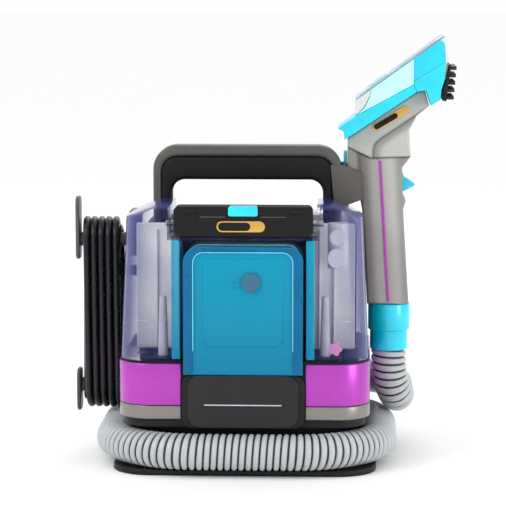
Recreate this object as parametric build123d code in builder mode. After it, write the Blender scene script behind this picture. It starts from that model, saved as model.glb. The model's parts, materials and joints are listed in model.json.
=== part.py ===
"""Portable carpet cleaner: tinted tanks, hose wrapped round the base, docked hand wand, wound cord."""
import os
from math import pi, tan

from build123d import *

os.makedirs("parts", exist_ok=True)

# ---------------------------------------------------------------- driving dimensions, mm
WALL = 3.0
PLAY = 0.4

BASE_W = 256.0
BASE_D = 226.0
BASE_R = 38.0
BASE_TOP = 6.0
FOOT_R = 11.0
FOOT_T = 3.0
FOOT_SPAN_X, FOOT_SPAN_Y = 176.0, 150.0
TRAY_RIM = 6.0

CORE_W = 220.0
CORE_FRONT = -94.0
CORE_R = 62.0
BODY_BACK = 93.0
CORE_TOP = 46.0
CORE_D = BODY_BACK - CORE_FRONT
RIM_OUT, RIM_IN = 4.0, 7.0
PORT_BORE = 13.0

BODY_W = 237.0
BODY_FRONT = -104.5
BODY_R = 30.0
SHELF_TOP = 54.0
TRIM_TOP = 67.0
BAND_GAP = 0.3
BAND_DROP = 2.0
DECK_TOP = 110.0
DECK_T = 4.0
SKIN = 3.0
BAND_BACK = 79.0

BEZEL_HALF = 59.0
BEZEL_TOP = 98.0
BEZEL_FRONT = -111.0
BEZEL_R = 10.0
PANEL_HALF = 53.0
PANEL_FRONT = -113.5
PANEL_R = 12.0

TANK_BOTTOM = 110.5
TANK_TOP = 259.0
TANK_FRONT = -108.0
TANK_BACK = -21.0
TANK_W = 240.0
TANK_W_TOP = 227.0
TANK_R = 34.0
TANK_WALL = 2.5
POCKET_HALF = 59.5
POCKET_BACK = -62.0
POCKET_TOP = 227.0
RECESS_HALF = 70.0
RECESS_BACK = -60.0
RECESS_FLOOR = 229.3
TANK_REAR_TOP = 248.0
SHOULDER_IN = (87.0, 259.0)
SHOULDER_OUT = (114.0, 247.0)
CUT_FRONT, CUT_TOP = -140.0, 280.0

CELL_HALF = 57.0
CELL_FRONT = -113.0
CELL_BACK = -64.0
CELL_BOTTOM = 111.0
CELL_TOP = 221.0
CELL_R = 15.0
CELL_WALL = 2.4
CAP_X, CAP_Z, CAP_R = 8.0, 188.0, 9.0

BAR_HALF = 66.0
BAR_FRONT = -110.0
BAR_BACK = -88.0
BAR_BOTTOM = 231.3
BAR_TOP = 259.5
PIVOT_Y, PIVOT_Z = -74.0, 240.0
PIN_R = 3.0

HOUSING_HALF = 108.0
HOUSING_FRONT = 4.0
HOUSING_BACK = 90.0
HOUSING_TOP = 232.0
HOUSING_R = 14.0
HOUSING_LOW = 60.0
BUTTON_SPOT = (-70.0, 55.0)
BUTTON_R = 12.0
BUTTON_FLANGE = 3.0
BUTTON_RISE = 4.0
BUTTON_LOW = HOUSING_TOP - WALL - BUTTON_FLANGE
VENT_Z = 170.0
SCREW_R = 3.6
SCREW_T = 1.6
SLOT_L, SLOT_W = 4.4, 1.0
MOTOR_Y = 48.0
MOTOR_R = 40.0
MOTOR_BORE = 37.0
MOTOR_H = 84.0
MOTOR_CAP = 4.0
STATOR_H = 36.0
STATOR_BORE = 22.0
SHAFT_R = 4.0
INTAKE_R = 20.0
FAN_Z = DECK_TOP + 58
FAN_R = 34.0
FAN_DISC = 2.0
BLADE_H = 10.0

HANDLE_HALF = 93.0
HANDLE_TOP = 311.0
HANDLE_FRONT, HANDLE_BACK = -19.0, 3.0
OPENING_HALF = 74.5
OPENING_TOP = 277.0
GRIP_BOTTOM = 205.0

HOOK_Y = 14.0
HOOK_TOP_Z = 214.0
HOOK_LOW_Z = 66.0
HOOK_R = 7.0
CORD_D = 7.0
HANK_IN, HANK_OUT = -124.5, -168.0
HANK_LAYER = 15.0
HANK_R = HOOK_R + 0.5
PADDLE_IN, PADDLE_OUT = -169.0, -173.0

HOSE_D = 35.0
HOSE_X = 131.0
HOSE_Y = 115.0
HOSE_Z = 24.0
HOSE_HIGH_Z = 60.0
HOSE_TURN = 50.0
RISER_X = 150.0
RISER_Z = 54.0

WAND_Y = 4.0
WAND_HALF = 19.0
COLLAR_X = 140.5
COLLAR_BOTTOM = 106.4
COLLAR_TOP = 153.0
COLLAR_STEP = 20.0
COLLAR_R = 18.8
COLLAR_BORE = 15.0
GRIP_BASE = 153.6


# ---------------------------------------------------------------- shared shapes
def plan_block(width, front, back, radius, bottom, top):
    """Upright block with a rounded rectangular plan."""
    with BuildPart() as block:
        with BuildSketch(Plane.XY.offset(bottom)):
            with Locations((0, (front + back) / 2)):
                RectangleRounded(width, back - front, radius)
        extrude(amount=top - bottom)
    return block.part


def side_slab(points, front, back):
    """Prism whose outline stands in the XZ plane, from y = front to y = back."""
    with BuildPart() as slab:
        with BuildSketch(Plane.XZ.offset(-back)):
            with BuildLine():
                Polyline(*points, close=True)
            make_face()
        extrude(amount=back - front)
    return slab.part


def box_between(low, high):
    """Box from its low corner to its high corner."""
    with BuildPart() as block:
        with BuildSketch(Plane.XY.offset(low[2])):
            with Locations(((low[0] + high[0]) / 2, (low[1] + high[1]) / 2)):
                Rectangle(high[0] - low[0], high[1] - low[1])
        extrude(amount=high[2] - low[2])
    return block.part


def rod_between(start, end, radius):
    """Round rod from one point to another."""
    axis = Vector(*end) - Vector(*start)
    with BuildPart() as rod:
        with BuildSketch(Plane(origin=start, z_dir=axis)):
            Circle(radius)
        extrude(amount=axis.length)
    return rod.part


def upright_pill(half_width, bottom, top, radius, front, back):
    """Rounded rectangle standing in the XZ plane, from y = front to y = back."""
    with BuildPart() as pill:
        with BuildSketch(Plane.XZ.offset(-back)):
            with Locations((0, (bottom + top) / 2)):
                RectangleRounded(2 * half_width, top - bottom, radius)
        extrude(amount=back - front)
    return pill.part


def corner_radii(points):
    """Arc radius for every corner of a route, as large as its two runs allow."""
    corners = [Vector(*point) for point in points]
    radii = []
    for before, here, after in zip(corners, corners[1:], corners[2:]):
        run_in = here - before
        run_out = after - here
        half_turn = run_in.get_angle(run_out) / 2
        shorter = min(run_in.length, run_out.length)
        radii.append(0.45 * shorter / tan(half_turn * pi / 180))
    return radii


def tube_along(points, radii, diameter):
    """Solid tube along straight runs joined by tangent arcs."""
    with BuildPart() as tube:
        with BuildLine() as route:
            FilletPolyline(*points, radius=radii)
        with BuildSketch(Plane(origin=points[0], z_dir=route.line % 0)):
            Circle(diameter / 2)
        sweep()
    return tube.part, sum(edge.length for edge in route.line.edges())


# ---------------------------------------------------------------- base
with BuildPart() as base_tray:
    with BuildSketch():
        RectangleRounded(BASE_W, BASE_D, BASE_R)
    extrude(amount=BASE_TOP)
    with BuildSketch(Plane.XY.offset(BASE_TOP)):
        with Locations((0, (CORE_FRONT + BODY_BACK) / 2)):
            RectangleRounded(CORE_W - 2 * RIM_OUT, CORE_D - 2 * RIM_OUT, CORE_R - RIM_OUT)
            RectangleRounded(CORE_W - 2 * RIM_IN, CORE_D - 2 * RIM_IN, CORE_R - RIM_IN,
                             mode=Mode.SUBTRACT)
    extrude(amount=TRAY_RIM)
    with BuildSketch():
        with GridLocations(FOOT_SPAN_X, FOOT_SPAN_Y, 2, 2):
            Circle(FOOT_R)
    extrude(amount=FOOT_T, mode=Mode.SUBTRACT)
base_tray.part.label = "base_tray"
export_step(base_tray.part, "parts/base_tray.step")

with BuildPart() as rubber_feet:
    with BuildSketch():
        with GridLocations(FOOT_SPAN_X, FOOT_SPAN_Y, 2, 2):
            Circle(FOOT_R)
    extrude(amount=FOOT_T)
rubber_feet.part.label = "rubber_feet"
export_step(rubber_feet.part, "parts/rubber_feet.step")

# ---------------------------------------------------------------- lower and upper shells
shelf = plan_block(BODY_W - 2, BODY_FRONT + 1, BODY_BACK, BODY_R, CORE_TOP, SHELF_TOP)
core_void = plan_block(CORE_W - 2 * WALL, CORE_FRONT + WALL, BODY_BACK - WALL, CORE_R - WALL,
                       BASE_TOP, SHELF_TOP)
with BuildPart() as lower_shell:
    add(plan_block(CORE_W, CORE_FRONT, BODY_BACK, CORE_R, BASE_TOP, CORE_TOP))
    add(shelf)
    add(core_void, mode=Mode.SUBTRACT)
    with BuildSketch(Plane.XZ.offset(-BODY_BACK)):
        with Locations((0, HOSE_Z)):
            Circle(PORT_BORE)
    extrude(amount=WALL, mode=Mode.SUBTRACT)
lower_shell.part.label = "lower_shell"
export_step(lower_shell.part, "parts/lower_shell.step")

body_outline = plan_block(BODY_W, BODY_FRONT, BODY_BACK, BODY_R, SHELF_TOP, DECK_TOP)
body_void = plan_block(BODY_W - 2 * WALL, BODY_FRONT + WALL, BODY_BACK - WALL, BODY_R - WALL,
                       SHELF_TOP, DECK_TOP)
with BuildPart() as upper_shell:
    add(body_outline)
    add(body_void, mode=Mode.SUBTRACT)
upper_shell.part.label = "upper_shell"
export_step(upper_shell.part, "parts/upper_shell.step")

with BuildPart() as deck_plate:
    add(plan_block(BODY_W - 2 * WALL, BODY_FRONT + WALL, BODY_BACK - WALL, BODY_R - WALL,
                   DECK_TOP - DECK_T, DECK_TOP))
    with BuildSketch(Plane.XY.offset(DECK_TOP - DECK_T)):
        with Locations((0, MOTOR_Y)):
            Circle(INTAKE_R)
    extrude(amount=DECK_T, mode=Mode.SUBTRACT)
deck_plate.part.label = "deck_plate"
export_step(deck_plate.part, "parts/deck_plate.step")


def body_band(bottom, top, side):
    """Skin wrapped round one side of the body, open at the front bezel and the back."""
    outer = plan_block(BODY_W + 2 * SKIN, BODY_FRONT - SKIN, BODY_BACK + 30, BODY_R + SKIN, bottom, top)
    hollow = plan_block(BODY_W, BODY_FRONT, BODY_BACK + 60, BODY_R, bottom, top)
    reach = BODY_W / 2 + SKIN + 1
    side_box = box_between((BEZEL_HALF + PLAY, BODY_FRONT - SKIN, bottom), (reach, BAND_BACK, top))
    with BuildPart() as band:
        add(outer)
        add(hollow, mode=Mode.SUBTRACT)
        add(side_box, mode=Mode.INTERSECT)
        if side < 0:
            mirror(about=Plane.YZ, mode=Mode.REPLACE)
    return band.part


trim_parts = [body_band(SHELF_TOP, TRIM_TOP, side) for side in (-1, 1)]
with BuildPart() as trim_bands:
    for trim_part in trim_parts:
        add(trim_part)
trim_bands.part.label = "trim_bands"
export_step(trim_bands.part, "parts/trim_bands.step")

accent_parts = [body_band(TRIM_TOP + BAND_GAP, DECK_TOP - BAND_DROP, side) for side in (-1, 1)]
with BuildPart() as accent_bands:
    for accent_part in accent_parts:
        add(accent_part)
accent_bands.part.label = "accent_bands"
export_step(accent_bands.part, "parts/accent_bands.step")

with BuildPart() as front_bezel:
    add(upright_pill(BEZEL_HALF, CORE_TOP, BEZEL_TOP, BEZEL_R, BEZEL_FRONT, BODY_FRONT))
front_bezel.part.label = "front_bezel"
export_step(front_bezel.part, "parts/front_bezel.step")

with BuildPart() as nameplate:
    add(upright_pill(PANEL_HALF, CORE_TOP + 1, BEZEL_TOP, PANEL_R, PANEL_FRONT, BEZEL_FRONT))
nameplate.part.label = "nameplate"
export_step(nameplate.part, "parts/nameplate.step")

# ---------------------------------------------------------------- rear housing and motor
housing_outer = upright_pill(HOUSING_HALF, HOUSING_LOW, HOUSING_TOP, HOUSING_R,
                             HOUSING_FRONT, HOUSING_BACK)
housing_inner = upright_pill(HOUSING_HALF - WALL, HOUSING_LOW, HOUSING_TOP - WALL, HOUSING_R - WALL,
                             HOUSING_FRONT + WALL, HOUSING_BACK)
below_deck = box_between((-130, -10, 50), (130, 100, DECK_TOP))
with BuildPart() as rear_housing:
    add(housing_outer)
    add(housing_inner, mode=Mode.SUBTRACT)
    add(below_deck, mode=Mode.SUBTRACT)
    with BuildSketch(Plane.XY.offset(HOUSING_TOP - WALL)):
        with Locations(BUTTON_SPOT):
            Circle(BUTTON_R + PLAY)
    extrude(amount=WALL, mode=Mode.SUBTRACT)
rear_housing.part.label = "rear_housing"
export_step(rear_housing.part, "parts/rear_housing.step")

cover_plate = upright_pill(HOUSING_HALF, HOUSING_LOW, HOUSING_TOP, HOUSING_R, HOUSING_BACK, BODY_BACK)
with BuildPart() as rear_cover:
    add(cover_plate)
    add(below_deck, mode=Mode.SUBTRACT)
    with BuildSketch(Plane.XZ.offset(-BODY_BACK)):
        with Locations((0, VENT_Z)):
            with GridLocations(0, 11, 1, 7):
                SlotOverall(110, 5)
    extrude(amount=BODY_BACK - HOUSING_BACK, mode=Mode.SUBTRACT)
rear_cover.part.label = "rear_cover"
export_step(rear_cover.part, "parts/rear_cover.step")

with BuildPart() as cover_screws:
    with BuildSketch(Plane.XZ.offset(-BODY_BACK - SCREW_T)):
        with Locations((0, VENT_Z)):
            with GridLocations(190, 96, 2, 2):
                Circle(SCREW_R)
                Rectangle(SLOT_L, SLOT_W, mode=Mode.SUBTRACT)
                Rectangle(SLOT_W, SLOT_L, mode=Mode.SUBTRACT)
    extrude(amount=SCREW_T)
cover_screws.part.label = "cover_screws"
export_step(cover_screws.part, "parts/cover_screws.step")

with BuildPart() as power_button:
    with BuildSketch(Plane.XY.offset(BUTTON_LOW)):
        with Locations(BUTTON_SPOT):
            Circle(BUTTON_R + 2.5)
    extrude(amount=BUTTON_FLANGE - BAND_GAP)
    with BuildSketch(Plane.XY.offset(BUTTON_LOW)):
        with Locations(BUTTON_SPOT):
            Circle(BUTTON_R)
    extrude(amount=BUTTON_FLANGE + WALL + BUTTON_RISE)
    fillet(power_button.edges().group_by(Axis.Z)[-1], 1.5)
power_button.part.label = "power_button"
export_step(power_button.part, "parts/power_button.step")

with BuildPart() as motor_can:
    with BuildSketch(Plane.XY.offset(DECK_TOP)):
        with Locations((0, MOTOR_Y)):
            Circle(MOTOR_R)
    extrude(amount=MOTOR_H)
    with BuildSketch(Plane.XY.offset(DECK_TOP + MOTOR_CAP)):
        with Locations((0, MOTOR_Y)):
            Circle(MOTOR_BORE)
    extrude(amount=MOTOR_H - 2 * MOTOR_CAP, mode=Mode.SUBTRACT)
    with BuildSketch(Plane.XY.offset(DECK_TOP + MOTOR_H - MOTOR_CAP)):
        with Locations((0, MOTOR_Y)):
            Circle(3 * SHAFT_R)
    extrude(amount=MOTOR_CAP, mode=Mode.SUBTRACT)
motor_can.part.label = "motor_can"
export_step(motor_can.part, "parts/motor_can.step")

with BuildPart() as motor_stator:
    with BuildSketch(Plane.XY.offset(DECK_TOP + 14)):
        with Locations((0, MOTOR_Y)):
            Circle(MOTOR_BORE)
            Circle(STATOR_BORE, mode=Mode.SUBTRACT)
    extrude(amount=STATOR_H)
motor_stator.part.label = "motor_stator"
export_step(motor_stator.part, "parts/motor_stator.step")

with BuildPart() as motor_armature:
    with BuildSketch(Plane.XY.offset(DECK_TOP + MOTOR_CAP + 0.5)):
        with Locations((0, MOTOR_Y)):
            Circle(SHAFT_R)
    extrude(amount=MOTOR_H - 3 * MOTOR_CAP)
    with BuildSketch(Plane.XY.offset(DECK_TOP + 15)):
        with Locations((0, MOTOR_Y)):
            Circle(STATOR_BORE - 1)
    extrude(amount=STATOR_H - 2)
motor_armature.part.label = "motor_armature"
export_step(motor_armature.part, "parts/motor_armature.step")

with BuildPart() as fan_impeller:
    with BuildSketch(Plane.XY.offset(FAN_Z)):
        with Locations((0, MOTOR_Y)):
            Circle(FAN_R)
            Circle(SHAFT_R, mode=Mode.SUBTRACT)
    extrude(amount=FAN_DISC)
    with BuildSketch(Plane.XY.offset(FAN_Z + FAN_DISC)):
        with Locations((0, MOTOR_Y)):
            with PolarLocations(21, 9):
                Rectangle(22, 2)
    extrude(amount=BLADE_H)
    with BuildSketch(Plane.XY.offset(FAN_Z + FAN_DISC)):
        with Locations((0, MOTOR_Y)):
            Circle(11)
            Circle(SHAFT_R, mode=Mode.SUBTRACT)
    extrude(amount=BLADE_H)
fan_impeller.part.label = "fan_impeller"
export_step(fan_impeller.part, "parts/fan_impeller.step")

PUMP_X, PUMP_Z = -66.0, 27.0
pump_body = box_between((PUMP_X - 20, 10, PUMP_Z - 13), (PUMP_X + 20, 50, PUMP_Z + 13))
pump_motor = rod_between((PUMP_X, 10, PUMP_Z), (PUMP_X, -34, PUMP_Z), 14)
with BuildPart() as water_pump:
    add(pump_body)
    add(pump_motor)
    fillet(water_pump.edges().filter_by(Axis.Z), 5)
water_pump.part.label = "water_pump"
export_step(water_pump.part, "parts/water_pump.step")

BOARD_LOW, BOARD_TOP = 20.0, 21.6
board_parts = [box_between((30, -20, BOARD_LOW), (95, 40, BOARD_TOP)),
               box_between((38, -12, BOARD_TOP), (58, 10, 40)),
               box_between((66, 6, BOARD_TOP), (88, 30, 34))]
with BuildPart() as circuit_board:
    for board_part in board_parts:
        add(board_part)
circuit_board.part.label = "circuit_board"
export_step(circuit_board.part, "parts/circuit_board.step")


# ---------------------------------------------------------------- recovery tank
def tank_volume(inset):
    """Outer volume of the tinted tank, or the same volume moved in by the wall."""
    middle = (TANK_FRONT + TANK_BACK) / 2
    depth = TANK_BACK - TANK_FRONT - 2 * inset
    drop = 1.1 * inset
    pocket = box_between((-POCKET_HALF - inset, CUT_FRONT, 90),
                         (POCKET_HALF + inset, POCKET_BACK + inset, POCKET_TOP + inset))
    recess = box_between((-RECESS_HALF - inset, CUT_FRONT, RECESS_FLOOR - inset),
                         (RECESS_HALF + inset, RECESS_BACK + inset, CUT_TOP))
    rear_top = box_between((-RECESS_HALF - inset, -100, TANK_REAR_TOP - inset),
                           (RECESS_HALF + inset, 0, CUT_TOP))
    wedge = [(SHOULDER_IN[0], SHOULDER_IN[1] - drop), (SHOULDER_OUT[0], SHOULDER_OUT[1] - drop),
             (141, 235 - drop), (141, CUT_TOP), (SHOULDER_IN[0], CUT_TOP)]
    right_wedge = side_slab(wedge, CUT_FRONT, 0)
    left_wedge = side_slab([(-x, z) for x, z in wedge], CUT_FRONT, 0)
    with BuildPart() as volume:
        with BuildSketch(Plane.XY.offset(TANK_BOTTOM + inset)):
            with Locations((0, middle)):
                RectangleRounded(TANK_W - 2 * inset, depth, TANK_R - inset)
        with BuildSketch(Plane.XY.offset(TANK_TOP - inset)):
            with Locations((0, middle)):
                RectangleRounded(TANK_W_TOP - 2 * inset, depth, TANK_R - inset)
        loft()
        for cutter in (pocket, recess, rear_top, right_wedge, left_wedge):
            add(cutter, mode=Mode.SUBTRACT)
    return volume.part


KNOB_X, KNOB_Z = 88.0, 124.0
KNOB_GAP = 0.4
KNOB_BORE = 2.6
tank_outer = tank_volume(0)
tank_inner = tank_volume(TANK_WALL)
knob_hole = rod_between((KNOB_X, TANK_FRONT - 1, KNOB_Z), (KNOB_X, TANK_FRONT + 8, KNOB_Z), KNOB_BORE)
pin_hole = rod_between((-80, PIVOT_Y, PIVOT_Z), (80, PIVOT_Y, PIVOT_Z), PIN_R)
lid_hole = box_between((-46, -52, 240), (46, -30, 260))
with BuildPart() as tank_shell:
    add(tank_outer)
    add(tank_inner, mode=Mode.SUBTRACT)
    add(knob_hole, mode=Mode.SUBTRACT)
    add(pin_hole, mode=Mode.SUBTRACT)
    add(lid_hole, mode=Mode.SUBTRACT)
tank_shell.part.label = "tank_shell"
export_step(tank_shell.part, "parts/tank_shell.step")

lid_plug = plan_block(91, -51.5, -30.5, 4, TANK_REAR_TOP - 5, TANK_REAR_TOP)
with BuildPart() as tank_lid:
    add(plan_block(108, -57, -26, 6, TANK_REAR_TOP, TANK_REAR_TOP + 3.5))
    add(lid_plug)
tank_lid.part.label = "tank_lid"
export_step(tank_lid.part, "parts/tank_lid.step")

STRIP_X, STRIP_Z = 64.2, 170.0
STRIP_T = 1.5
with BuildPart() as guide_strips:
    with BuildSketch(Plane.XZ.offset(-TANK_FRONT)):
        with Locations((-STRIP_X, STRIP_Z), (STRIP_X, STRIP_Z)):
            RectangleRounded(8, 114, STRIP_T)
    extrude(amount=STRIP_T)
guide_strips.part.label = "guide_strips"
export_step(guide_strips.part, "parts/guide_strips.step")

PIPE_X, PIPE_Y = 78.0, -88.0
with BuildPart() as standpipes:
    with BuildSketch(Plane.XY.offset(TANK_BOTTOM + TANK_WALL)):
        with Locations((-PIPE_X, PIPE_Y), (PIPE_X, PIPE_Y)):
            Circle(5)
    extrude(amount=58, taper=1.6)
standpipes.part.label = "standpipes"
export_step(standpipes.part, "parts/standpipes.step")

FLOAT_X, FLOAT_Y = 90.0, -78.0
cage_void = rod_between((FLOAT_X, FLOAT_Y, 201), (FLOAT_X, FLOAT_Y, 239), 8.2)
cage_windows = [box_between((FLOAT_X - 5, FLOAT_Y - 14, z), (FLOAT_X + 5, FLOAT_Y + 14, z + 12))
                for z in (204, 221)]
with BuildPart() as float_cage:
    add(rod_between((FLOAT_X, FLOAT_Y, 198), (FLOAT_X, FLOAT_Y, 241), 10))
    add(cage_void, mode=Mode.SUBTRACT)
    for cage_window in cage_windows:
        add(cage_window, mode=Mode.SUBTRACT)
float_cage.part.label = "float_cage"
export_step(float_cage.part, "parts/float_cage.step")

with BuildPart() as float_ball:
    with Locations((FLOAT_X, FLOAT_Y, 209.2)):
        Sphere(7.6)
float_ball.part.label = "float_ball"
export_step(float_ball.part, "parts/float_ball.step")

with BuildPart() as drain_knob:
    with BuildSketch(Plane.XZ.offset(-TANK_FRONT + KNOB_GAP)):
        with Locations((KNOB_X, KNOB_Z)):
            Circle(5)
            with PolarLocations(4.2, 5):
                Circle(2.6)
    extrude(amount=4)
    with BuildSketch(Plane.XZ.offset(-TANK_FRONT + KNOB_GAP)):
        with Locations((KNOB_X, KNOB_Z)):
            Circle(KNOB_BORE - 0.05)
    extrude(amount=-7)
drain_knob.part.label = "drain_knob"
export_step(drain_knob.part, "parts/drain_knob.step")

# ---------------------------------------------------------------- tank handle, latch button, badge
ARM_X, ARM_HALF = 61.5, 4.5
arm_parts = [box_between((middle - ARM_HALF, BAR_BACK - 4, BAR_BOTTOM + 1),
                         (middle + ARM_HALF, PIVOT_Y, 246))
             for middle in (-ARM_X, ARM_X)]
arm_ends = [rod_between((middle - ARM_HALF, PIVOT_Y, PIVOT_Z), (middle + ARM_HALF, PIVOT_Y, PIVOT_Z), 7)
            for middle in (-ARM_X, ARM_X)]
arm_bore = rod_between((-90, PIVOT_Y, PIVOT_Z), (90, PIVOT_Y, PIVOT_Z), PIN_R + 0.06)
button_slot = box_between((-14.5, BAR_FRONT - 1, 250), (14.5, -92, BAR_TOP + 1))
finger_hollow = box_between((-48, -104, BAR_BOTTOM - 1), (48, -91, 247))
with BuildPart() as tank_handle:
    add(upright_pill(BAR_HALF, BAR_BOTTOM, BAR_TOP, 5, BAR_FRONT, BAR_BACK))
    for arm_part in arm_parts + arm_ends:
        add(arm_part)
    add(arm_bore, mode=Mode.SUBTRACT)
    add(button_slot, mode=Mode.SUBTRACT)
    add(finger_hollow, mode=Mode.SUBTRACT)
tank_handle.part.label = "tank_handle"
export_step(tank_handle.part, "parts/tank_handle.step")

pin_parts = [rod_between((side * 57.5, PIVOT_Y, PIVOT_Z), (side * 76, PIVOT_Y, PIVOT_Z), PIN_R)
             for side in (-1, 1)]
with BuildPart() as handle_pins:
    for pin_part in pin_parts:
        add(pin_part)
handle_pins.part.label = "handle_pins"
export_step(handle_pins.part, "parts/handle_pins.step")

button_block = box_between((-14.1, BAR_FRONT - 1.8, 250.4), (14.1, -96, BAR_TOP))
with BuildPart() as release_button:
    add(button_block)
    fillet(release_button.edges().filter_by(Axis.Y), 2)
release_button.part.label = "release_button"
export_step(release_button.part, "parts/release_button.step")

with BuildPart() as tank_badge:
    with BuildSketch(Plane.XZ.offset(-BAR_FRONT)):
        with Locations((-2, 240.6)):
            SlotOverall(46, 10.6)
    extrude(amount=1)
tank_badge.part.label = "tank_badge"
export_step(tank_badge.part, "parts/tank_badge.step")


# ---------------------------------------------------------------- solution tank
def cell_volume(inset):
    """Volume of the small front tank, or the same volume moved in by the wall."""
    tall = upright_pill(CELL_HALF - inset, CELL_BOTTOM - 40, CELL_TOP - inset, CELL_R - inset,
                        CELL_FRONT + inset, CELL_BACK - inset)
    under = box_between((-80, -130, 40), (80, -50, CELL_BOTTOM + inset))
    with BuildPart() as volume:
        add(tall)
        add(under, mode=Mode.SUBTRACT)
    return volume.part


cell_outer = cell_volume(0)
cell_inner = cell_volume(CELL_WALL)
cell_lip = box_between((-CELL_HALF, CELL_FRONT, BEZEL_TOP + PLAY),
                       (CELL_HALF, BODY_FRONT - PLAY, CELL_BOTTOM))
cell_panel = upright_pill(38, 126, 210, 9, CELL_FRONT - 1.5, CELL_FRONT)
cap_hole = rod_between((CAP_X, CELL_FRONT - 2, CAP_Z), (CAP_X, CELL_FRONT + 3, CAP_Z), CAP_R - 1.4)
with BuildPart() as solution_tank:
    add(cell_outer)
    add(cell_lip)
    add(cell_panel)
    add(cell_inner, mode=Mode.SUBTRACT)
    add(cap_hole, mode=Mode.SUBTRACT)
solution_tank.part.label = "solution_tank"
export_step(solution_tank.part, "parts/solution_tank.step")

with BuildPart() as fill_cap:
    add(rod_between((CAP_X, CELL_FRONT - 4, CAP_Z), (CAP_X, CELL_FRONT - 1.8, CAP_Z), CAP_R))
    add(rod_between((CAP_X, CELL_FRONT - 4, CAP_Z), (CAP_X, CELL_FRONT + 6, CAP_Z), CAP_R - 1.8))
fill_cap.part.label = "fill_cap"
export_step(fill_cap.part, "parts/fill_cap.step")

# ---------------------------------------------------------------- carry handle and wand cradle
frame_outer = upright_pill(HANDLE_HALF, 60, HANDLE_TOP, 24, HANDLE_FRONT, HANDLE_BACK)
grip_zone = upright_pill(HANDLE_HALF - 8, 150, HANDLE_TOP - 11, 16, HANDLE_FRONT, HANDLE_BACK)
opening = upright_pill(OPENING_HALF, 40, OPENING_TOP, 13, HANDLE_FRONT - 2, HANDLE_BACK + 2)
under_handle = box_between((-100, -40, 30), (100, 20, DECK_TOP))
under_grip = box_between((-100, -40, 30), (100, 20, GRIP_BOTTOM))
with BuildPart() as grip_block:
    add(grip_zone)
    add(under_grip, mode=Mode.SUBTRACT)
with BuildPart() as handle_frame:
    add(frame_outer)
    add(opening, mode=Mode.SUBTRACT)
    add(grip_block.part, mode=Mode.SUBTRACT)
    add(under_handle, mode=Mode.SUBTRACT)
handle_frame.part.label = "handle_frame"
export_step(handle_frame.part, "parts/handle_frame.step")

with BuildPart() as handle_grip:
    add(grip_block.part)
    add(opening, mode=Mode.SUBTRACT)
handle_grip.part.label = "handle_grip"
export_step(handle_grip.part, "parts/handle_grip.step")

CRADLE = [(82, 292), (96, 291.5), (112.5, 285), (113, 258), (86, 247.5)]
CRADLE_FRONT = -20.6
CRADLE_BACK = WAND_Y + WAND_HALF + 5
CRADLE_LOW, CRADLE_HIGH = 251.0, 284.0
cradle_face = side_slab(CRADLE, CRADLE_FRONT, HANDLE_FRONT)
cradle_rear = side_slab(CRADLE, WAND_Y + WAND_HALF + 1, CRADLE_BACK)
beyond_leg = box_between((HANDLE_HALF, CRADLE_FRONT, 240), (120, WAND_Y - WAND_HALF - 1, 300))
cradle_lug = side_slab(CRADLE, HANDLE_FRONT, WAND_Y - WAND_HALF - 1)
cradle_side = box_between((HANDLE_HALF, HANDLE_FRONT, CRADLE_LOW), (96, CRADLE_BACK, CRADLE_HIGH))
cradle_web = box_between((84, HANDLE_BACK, CRADLE_LOW), (96, CRADLE_BACK, CRADLE_HIGH))
with BuildPart() as front_lug:
    add(cradle_lug)
    add(beyond_leg, mode=Mode.INTERSECT)
with BuildPart() as wand_cradle:
    add(cradle_face)
    add(front_lug.part)
    add(cradle_rear)
    add(cradle_side)
    add(cradle_web)
wand_cradle.part.label = "wand_cradle"
export_step(wand_cradle.part, "parts/wand_cradle.step")

# ---------------------------------------------------------------- cord hooks and cord
BRACKET_X = -119.5
SPIGOT_R = 4.05
with BuildPart() as hook_bracket:
    add(box_between((BRACKET_X, 5, 198), (-HOUSING_HALF, 30, 244)))
    fillet(hook_bracket.edges().filter_by(Axis.Y).sort_by(Axis.Z)[-2:], 3)
    add(rod_between((BRACKET_X, HOOK_Y, HOOK_TOP_Z), (-HOUSING_HALF, HOOK_Y, HOOK_TOP_Z), SPIGOT_R + 0.05),
        mode=Mode.SUBTRACT)
hook_bracket.part.label = "hook_bracket"
export_step(hook_bracket.part, "parts/hook_bracket.step")


def paddle(bottom, top):
    """Flat end plate of a cord hook, with rounded ends."""
    with BuildPart() as plate:
        with BuildSketch(Plane.YZ.offset(PADDLE_OUT)):
            with Locations((HOOK_Y, (bottom + top) / 2)):
                RectangleRounded(24, top - bottom, 8)
        extrude(amount=PADDLE_IN - PADDLE_OUT)
    return plate.part


upper_paddle = paddle(194, 257)
with BuildPart() as upper_cord_hook:
    add(rod_between((PADDLE_IN - 1, HOOK_Y, HOOK_TOP_Z), (BRACKET_X - 0.3, HOOK_Y, HOOK_TOP_Z), HOOK_R))
    add(rod_between((BRACKET_X - 0.5, HOOK_Y, HOOK_TOP_Z), (-109, HOOK_Y, HOOK_TOP_Z), SPIGOT_R))
    add(upper_paddle)
upper_cord_hook.part.label = "upper_cord_hook"
export_step(upper_cord_hook.part, "parts/upper_cord_hook.step")

lower_paddle = paddle(40, 83)
with BuildPart() as lower_cord_hook:
    add(rod_between((PADDLE_IN - 1, HOOK_Y, HOOK_LOW_Z), (-BODY_W / 2 - SKIN, HOOK_Y, HOOK_LOW_Z), HOOK_R))
    add(lower_paddle)
lower_cord_hook.part.label = "lower_cord_hook"
export_step(lower_cord_hook.part, "parts/lower_cord_hook.step")

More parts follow.
